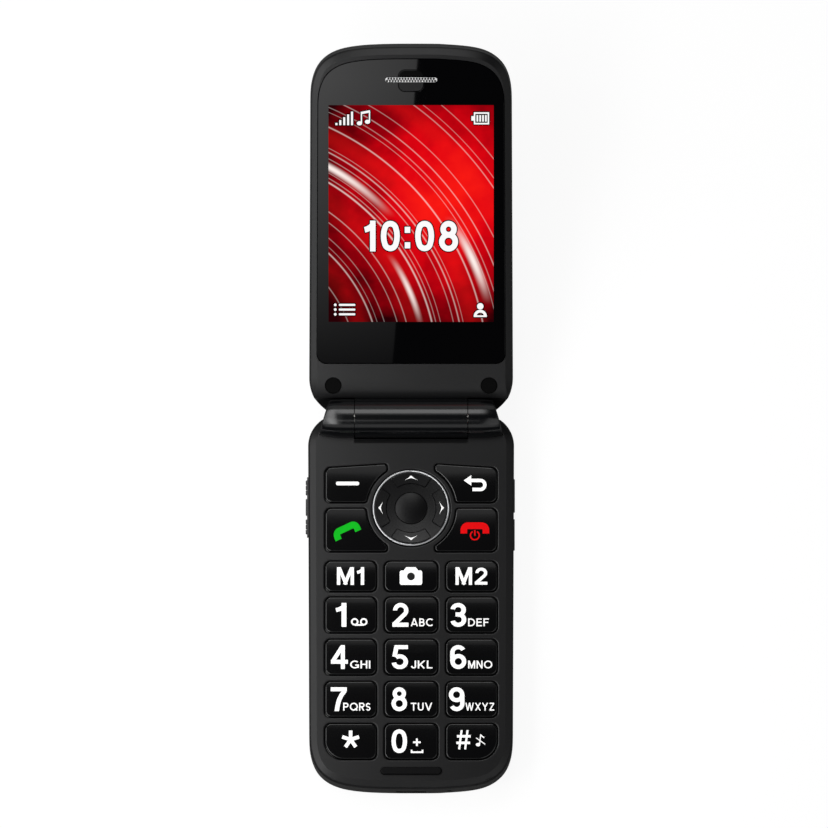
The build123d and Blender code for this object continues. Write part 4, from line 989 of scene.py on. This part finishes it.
@dataclass
class Screen:
    """The lit picture in the lid's window, with plain status signs and a clock."""

    half_width: float = 21.6
    low: float = 25.6
    high: float = 83.1
    window_top: float = 10.55
    edge: float = 0.28
    dot_mm: float = 0.4
    dimmest: float = 0.94
    slot: str = "window_acrylic"

    def glow(self, name: str, code: str) -> bpy.types.Material:
        """Make a lit flat colour for signs on the screen.

        Args:
            name: the material's name.
            code: its sRGB hex colour.

        Returns:
            The material.
        """
        made = bpy.data.materials.get(name)
        if made:
            return made
        material, tree, out = new_tree(name)
        place = add_node(tree, "ShaderNodeTexCoord").outputs["Object"]
        dots = add_node(tree, "ShaderNodeTexNoise", {"Vector": place, "Scale": per_metre(self.dot_mm)})
        level = add_node(
            tree, "ShaderNodeMapRange", {"Value": dots.outputs["Fac"], "To Min": self.dimmest, "To Max": 1.0},
        )
        tint = add_node(
            tree, "ShaderNodeMix", {0: level.outputs[0], 6: linear("#000000"), 7: linear(code)}, data_type="RGBA",
        )
        shader = add_node(
            tree, "ShaderNodeBsdfPrincipled",
            {
                "Base Color": linear("#020202"), "Roughness": 0.1, "Emission Color": tint.outputs[2],
                "Emission Strength": 1.0, "Specular IOR Level": 0.0,
            },
        )
        tree.links.new(shader.outputs["BSDF"], out.inputs["Surface"])
        return material

    def put(self, mark: Print, layer: int, code: str = "#ffffff") -> None:
        """Lay a mark on the picture.

        Args:
            mark: the mark.
            layer: how many films lie under it.
            code: its colour.
        """
        for film, print_, name, tint in (
            (layer, mark.edge(self.edge), "lit_sign_edge", "#140002"), (layer + 2, mark, "lit_sign_white", code),
        ):
            height = self.window_top + film * Print.FILM
            print_.lay(Half.LID, lambda spot: height, self.glow(name, tint), "lid", self.slot)

    def clock(self) -> None:
        """Write the time."""
        mark = Print("screen_clock")
        mark.text("10:08", 0.185, 0.16)
        mark.fit((-12.3, 12.3, 44.3, 52.5))
        self.put(mark, 1)

    def signs(self) -> None:
        """Draw plain signs for signal, tune, charge and the two soft keys."""
        signal = Print("screen_signal")
        for step in range(5):
            left = -19.8 + step * 1.02
            signal.bar((left, left + 0.55, 77.8, 78.4 + 0.75 * step))
        self.put(signal, 1)
        tune = Print("screen_tune")
        tune.disc(-13.5, 78.3, 0.55, 1.25)
        tune.disc(-11.4, 78.7, 0.55, 1.25)
        tune.stroke(-12.98, 78.3, 90, (2.8,), 0.34)
        tune.stroke(-10.88, 78.7, 90, (2.8,), 0.34)
        tune.stroke(-13.15, 81.0, 11, (2.48,), 0.62)
        self.put(tune, 1)
        charge = Print("screen_charge")
        for low, high in ((78.0, 78.42), (80.8, 81.22)):
            charge.bar((16.4, 20.4, low, high))
        for low, high in ((16.4, 16.78), (20.02, 20.4), (15.75, 16.4)):
            charge.bar((low, high, 78.4, 80.82) if low > 16 else (low, high, 79.0, 80.2))
        for step in range(4):
            charge.bar((17.1 + step * 0.74, 17.55 + step * 0.74, 78.75, 80.47))
        self.put(charge, 1)
        menu = Print("screen_list_sign")
        for step in range(3):
            level = 27.35 + step * 1.25
            menu.bar((-18.9, -14.6, level, level + 0.55), 0.2)
            menu.disc(-19.85, level + 0.28, 0.36)
        self.put(menu, 1)
        card = Print("screen_person_sign")
        card.disc(18.1, 29.75, 0.85)
        card.stroke(16.75, 27.1, 90, ((1.35, -180),), 0.75)
        card.bar((16.4, 19.8, 26.9, 27.35))
        self.put(card, 1)

    def build(self) -> None:
        """Lay the picture and everything on it."""
        picture = Print("screen_picture")
        picture.bar((-self.half_width, self.half_width, self.low, self.high))
        picture.lay(Half.LID, lambda spot: self.window_top, ScreenPicture().material(), "lid", self.slot)
        self.clock()
        self.signs()


@dataclass
class Studio:
    """The pale floor, the soft lights and the camera."""

    frame_mm: float = 216.8
    lens: float = 1400.0
    sensor: float = 36.0
    elevation: float = 80.0
    target: tuple = (0.76, 49.16, 11.2)
    floor_size: float = 6.0
    floor_drop: float = 0.0004
    floor_white: float = 1.06
    floor_share: float = 0.86
    # Painted shade on the floor, seen only in reflections: half size of its box, reach of its fade and least
    # brightness.
    shade_half: tuple = (0.045, 0.115)
    shade_reach: float = 0.14
    shade_least: float = 0.04
    room_level: float = 0.03
    card_edge_x: float = -2.2
    card_edge_d: float = 55.0
    card_lean: float = 4.7
    card_away: float = 0.75
    card_size: tuple = (0.13, 0.17)
    card_radiance: float = 1.5
    card_fade_mm: tuple = (15.0, 95.0)
    card_fade: tuple = (0.1, 1.0)
    card_side_mm: float = 26.0
    card_side_fade: float = 0.6

    def floor(self) -> None:
        """Lay a white floor that keeps a soft shadow."""
        material, tree, out = new_tree("white_paper_floor")
        path = add_node(tree, "ShaderNodeLightPath")
        direct = path.outputs["Is Camera Ray"]
        seen = add_node(tree, "ShaderNodeMath", {0: direct, 1: path.outputs["Is Glossy Ray"]}, operation="MAXIMUM")
        through = add_node(
            tree, "ShaderNodeMath", {0: seen.outputs[0], 1: path.outputs["Is Transmission Ray"]}, operation="MAXIMUM",
        )
        share = add_node(tree, "ShaderNodeMath", {0: through.outputs[0], 1: self.floor_share}, operation="MULTIPLY")
        matt = add_node(tree, "ShaderNodeBsdfDiffuse", {"Color": linear("#f6f6f6")})
        # Camera rays see the floor evenly white; reflections see it with painted shade close to the phone.
        bright = add_node(tree, "ShaderNodeMath", {0: direct, 1: self.shade(tree)}, operation="MAXIMUM")
        level = add_node(tree, "ShaderNodeMath", {0: bright.outputs[0], 1: self.floor_white}, operation="MULTIPLY")
        white = add_node(tree, "ShaderNodeEmission", {"Color": (1, 1, 1, 1), "Strength": level.outputs[0]})
        mixed = add_node(
            tree, "ShaderNodeMixShader", {0: share.outputs[0], 1: matt.outputs[0], 2: white.outputs[0]},
        )
        tree.links.new(mixed.outputs[0], out.inputs["Surface"])
        mesh = bmesh.new()
        bmesh.ops.create_grid(mesh, x_segments=1, y_segments=1, size=self.floor_size / 2)
        bmesh.ops.translate(mesh, verts=mesh.verts[:], vec=(0, 0, -self.floor_drop))
        data = bpy.data.meshes.new("floor")
        mesh.to_mesh(data)
        mesh.free()
        data.materials.append(material)
        sheet = bpy.data.objects.new("floor", data)
        bpy.context.scene.collection.objects.link(sheet)

    def shade(self, tree: bpy.types.NodeTree) -> bpy.types.NodeSocket:
        """Give the brightness of the floor as the phone mirrors it, with a painted shade: dim close by, white further
        out.

        Args:
            tree: the floor's node tree.

        Returns:
            The socket of the brightness.
        """
        place = add_node(tree, "ShaderNodeTexCoord").outputs["Object"]
        moved = add_node(tree, "ShaderNodeVectorMath", {0: place, 1: (0, HINGE_Y * MM, 0)}, operation="SUBTRACT")
        size = add_node(tree, "ShaderNodeVectorMath", {0: moved.outputs[0]}, operation="ABSOLUTE")
        split = add_node(tree, "ShaderNodeSeparateXYZ", {"Vector": size.outputs[0]})
        wide, long = self.shade_half
        right = add_node(tree, "ShaderNodeMath", {0: split.outputs["X"], 1: wide}, operation="SUBTRACT")
        up = add_node(tree, "ShaderNodeMath", {0: split.outputs["Y"], 1: long}, operation="SUBTRACT")
        out = add_node(tree, "ShaderNodeMath", {0: right.outputs[0], 1: up.outputs[0]}, operation="MAXIMUM")
        ramp = add_node(
            tree, "ShaderNodeMapRange",
            {
                "Value": out.outputs[0], "From Min": 0.0, "From Max": self.shade_reach, "To Min": self.shade_least,
                "To Max": 1.0,
            },
            interpolation_type="SMOOTHSTEP",
        )
        return ramp.outputs[0]

    def lamp(self, name: str, place: Vector, axes: tuple, size: tuple, radiance: float) -> bpy.types.Light:
        """Hang one soft box.

        Args:
            name: the lamp's name.
            place: its middle in metres.
            axes: its right, its up and the way its back faces.
            size: its width and height in metres.
            radiance: brightness of its face, where one is white.

        Returns:
            The light's data.
        """
        light = bpy.data.lights.new(name, "AREA")
        light.shape = "RECTANGLE"
        light.size, light.size_y = size
        light.energy = radiance * math.pi * size[0] * size[1]
        lamp = bpy.data.objects.new(name, light)
        lamp.matrix_world = Matrix.Translation(place) @ Matrix(axes).transposed().to_4x4()
        lamp.visible_camera = False
        bpy.context.scene.collection.objects.link(lamp)
        return light

    def facing(self, place: tuple, aim: tuple) -> tuple:
        """Give level axes for a lamp at a place that faces a point."""
        back = (Vector(place) - Vector(aim)).normalized()
        right = Vector((0, 1, 0)).cross(back).normalized() if abs(back.y) < 0.99 else Vector((1, 0, 0))
        return right, back.cross(right), back

    def lights(self) -> None:
        """Hang the lights: low boxes for plain light, and narrow ones that draw the highlights."""
        self.overhead("soft_box_top", 50.0, 76.0, 0.7, 0.5)
        self.overhead("strip_for_barrel", 22.0, 46.0, 0.24, 3.4)
        self.overhead("strip_for_keys", 13.0, 22.0, 0.24, 0.6)
        self.overhead("low_card_front", -64.0, -44.0, 0.8, 0.7)
        middle = (0, 0.05, 0.01)
        for name, place, size, radiance in (
            ("soft_box_left", (-0.76, 0.0, 0.7), (0.6, 1.0), 2.4),
            ("soft_box_right", (0.78, -0.06, 0.66), (0.5, 0.95), 0.4),
            ("near_strip_left", (-0.05, 0.04, 0.13), (0.026, 0.24), 4.4),
            ("lid_card_left", (-0.36, -0.3, 0.62), (0.44, 0.5), 1.5),
            ("lid_card_right", (0.32, -0.3, 0.62), (0.44, 0.5), 0.85),
        ):
            aim = (-0.03, 0.03, 0.01) if name == "near_strip_left" else middle
            self.lamp(name, Vector(place), self.facing(place, aim), size, radiance)
        self.window_card()
        world = bpy.data.worlds.new("dim_room")
        world.use_nodes = True
        room = world.node_tree.nodes["Background"].inputs
        room["Color"].default_value = (1, 1, 1, 1)
        room["Strength"].default_value = self.room_level
        bpy.context.scene.world = world

    def overhead(self, name: str, low: float, high: float, width: float, radiance: float) -> None:
        """Hang a panel that fills a band of angles from upright, counted towards the lid.

        Args:
            name: the lamp's name.
            low: least angle in degrees.
            high: greatest angle.
            width: its width in metres.
            radiance: brightness of its face.
        """
        middle = Vector((0.0, 0.03, 0.01))
        tilt = math.radians((low + high) / 2)
        place = middle + Vector((0, math.sin(tilt), math.cos(tilt)))
        height = 2 * math.tan(math.radians((high - low) / 2))
        self.lamp(name, place, self.facing(place, middle), (width, height), radiance)

    def window_card(self) -> None:
        """Hang the card whose right edge shows as a slanted line down the lid's window."""
        tilt = math.radians(Half.LID.value * 2 - (90 - self.elevation))
        back = Vector((0, -math.sin(tilt), math.cos(tilt)))
        across, up = Vector((1, 0, 0)), Vector((0, math.cos(tilt), math.sin(tilt)))
        lean = math.radians(self.card_lean)
        right = across * math.cos(lean) - up * math.sin(lean)
        rise = across * math.sin(lean) + up * math.cos(lean)
        seen = Half.LID.placing() @ Vector((self.card_edge_x, self.card_edge_d, HINGE_Z))
        place = seen + back * self.card_away - right * self.card_size[0] / 2
        light = self.lamp("window_card_left", place, (right, rise, back), self.card_size, self.card_radiance)
        light.use_nodes = True
        tree = light.node_tree
        spot = add_node(tree, "ShaderNodeNewGeometry").outputs["Parametric"]
        split = add_node(tree, "ShaderNodeSeparateXYZ", {"Vector": spot})
        low, high = (0.5 + (d - self.card_edge_d) * MM / self.card_size[1] for d in self.card_fade_mm)
        fade = add_node(
            tree, "ShaderNodeMapRange",
            {
                "Value": split.outputs["Y"], "From Min": low, "From Max": high, "To Min": self.card_fade[0],
                "To Max": self.card_fade[1],
            },
        )
        inner = 1 - self.card_side_mm * MM / self.card_size[0]
        side = add_node(
            tree, "ShaderNodeMapRange",
            {
                "Value": split.outputs["X"], "From Min": inner, "From Max": 1.0, "To Min": 1.0,
                "To Max": self.card_side_fade,
            },
        )
        both = add_node(tree, "ShaderNodeMath", {0: fade.outputs[0], 1: side.outputs[0]}, operation="MULTIPLY")
        tree.links.new(both.outputs[0], tree.nodes["Emission"].inputs["Strength"])

    def camera(self) -> None:
        """Set the camera over the middle of the open angle, on a long lens."""
        data = bpy.data.cameras.new("camera")
        data.lens = self.lens
        data.sensor_width = self.sensor
        data.clip_end = 50.0
        tilt = math.radians(self.elevation)
        back = Vector((0, -math.cos(tilt), math.sin(tilt)))
        away = self.frame_mm * MM / 2 / (self.sensor / 2 / self.lens)
        camera = bpy.data.objects.new("camera", data)
        camera.location = Vector(self.target) * MM + back * away
        camera.rotation_euler = (-back).to_track_quat("-Z", "Y").to_euler()
        bpy.context.scene.collection.objects.link(camera)
        bpy.context.scene.camera = camera

    def build(self) -> None:
        """Set up the studio."""
        bpy.context.scene.view_settings.view_transform = "Standard"
        self.floor()
        self.lights()
        self.camera()


def main() -> None:
    """Dress the phone, print its keys, light its screen and set up the studio."""
    logging.basicConfig(level=logging.INFO)
    Housing().dress(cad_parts)
    Keypad().build()
    NavigationKey().build()
    EarpieceDish().build()
    Screen().build()
    Studio().build()


if __name__ == "__main__":
    main()
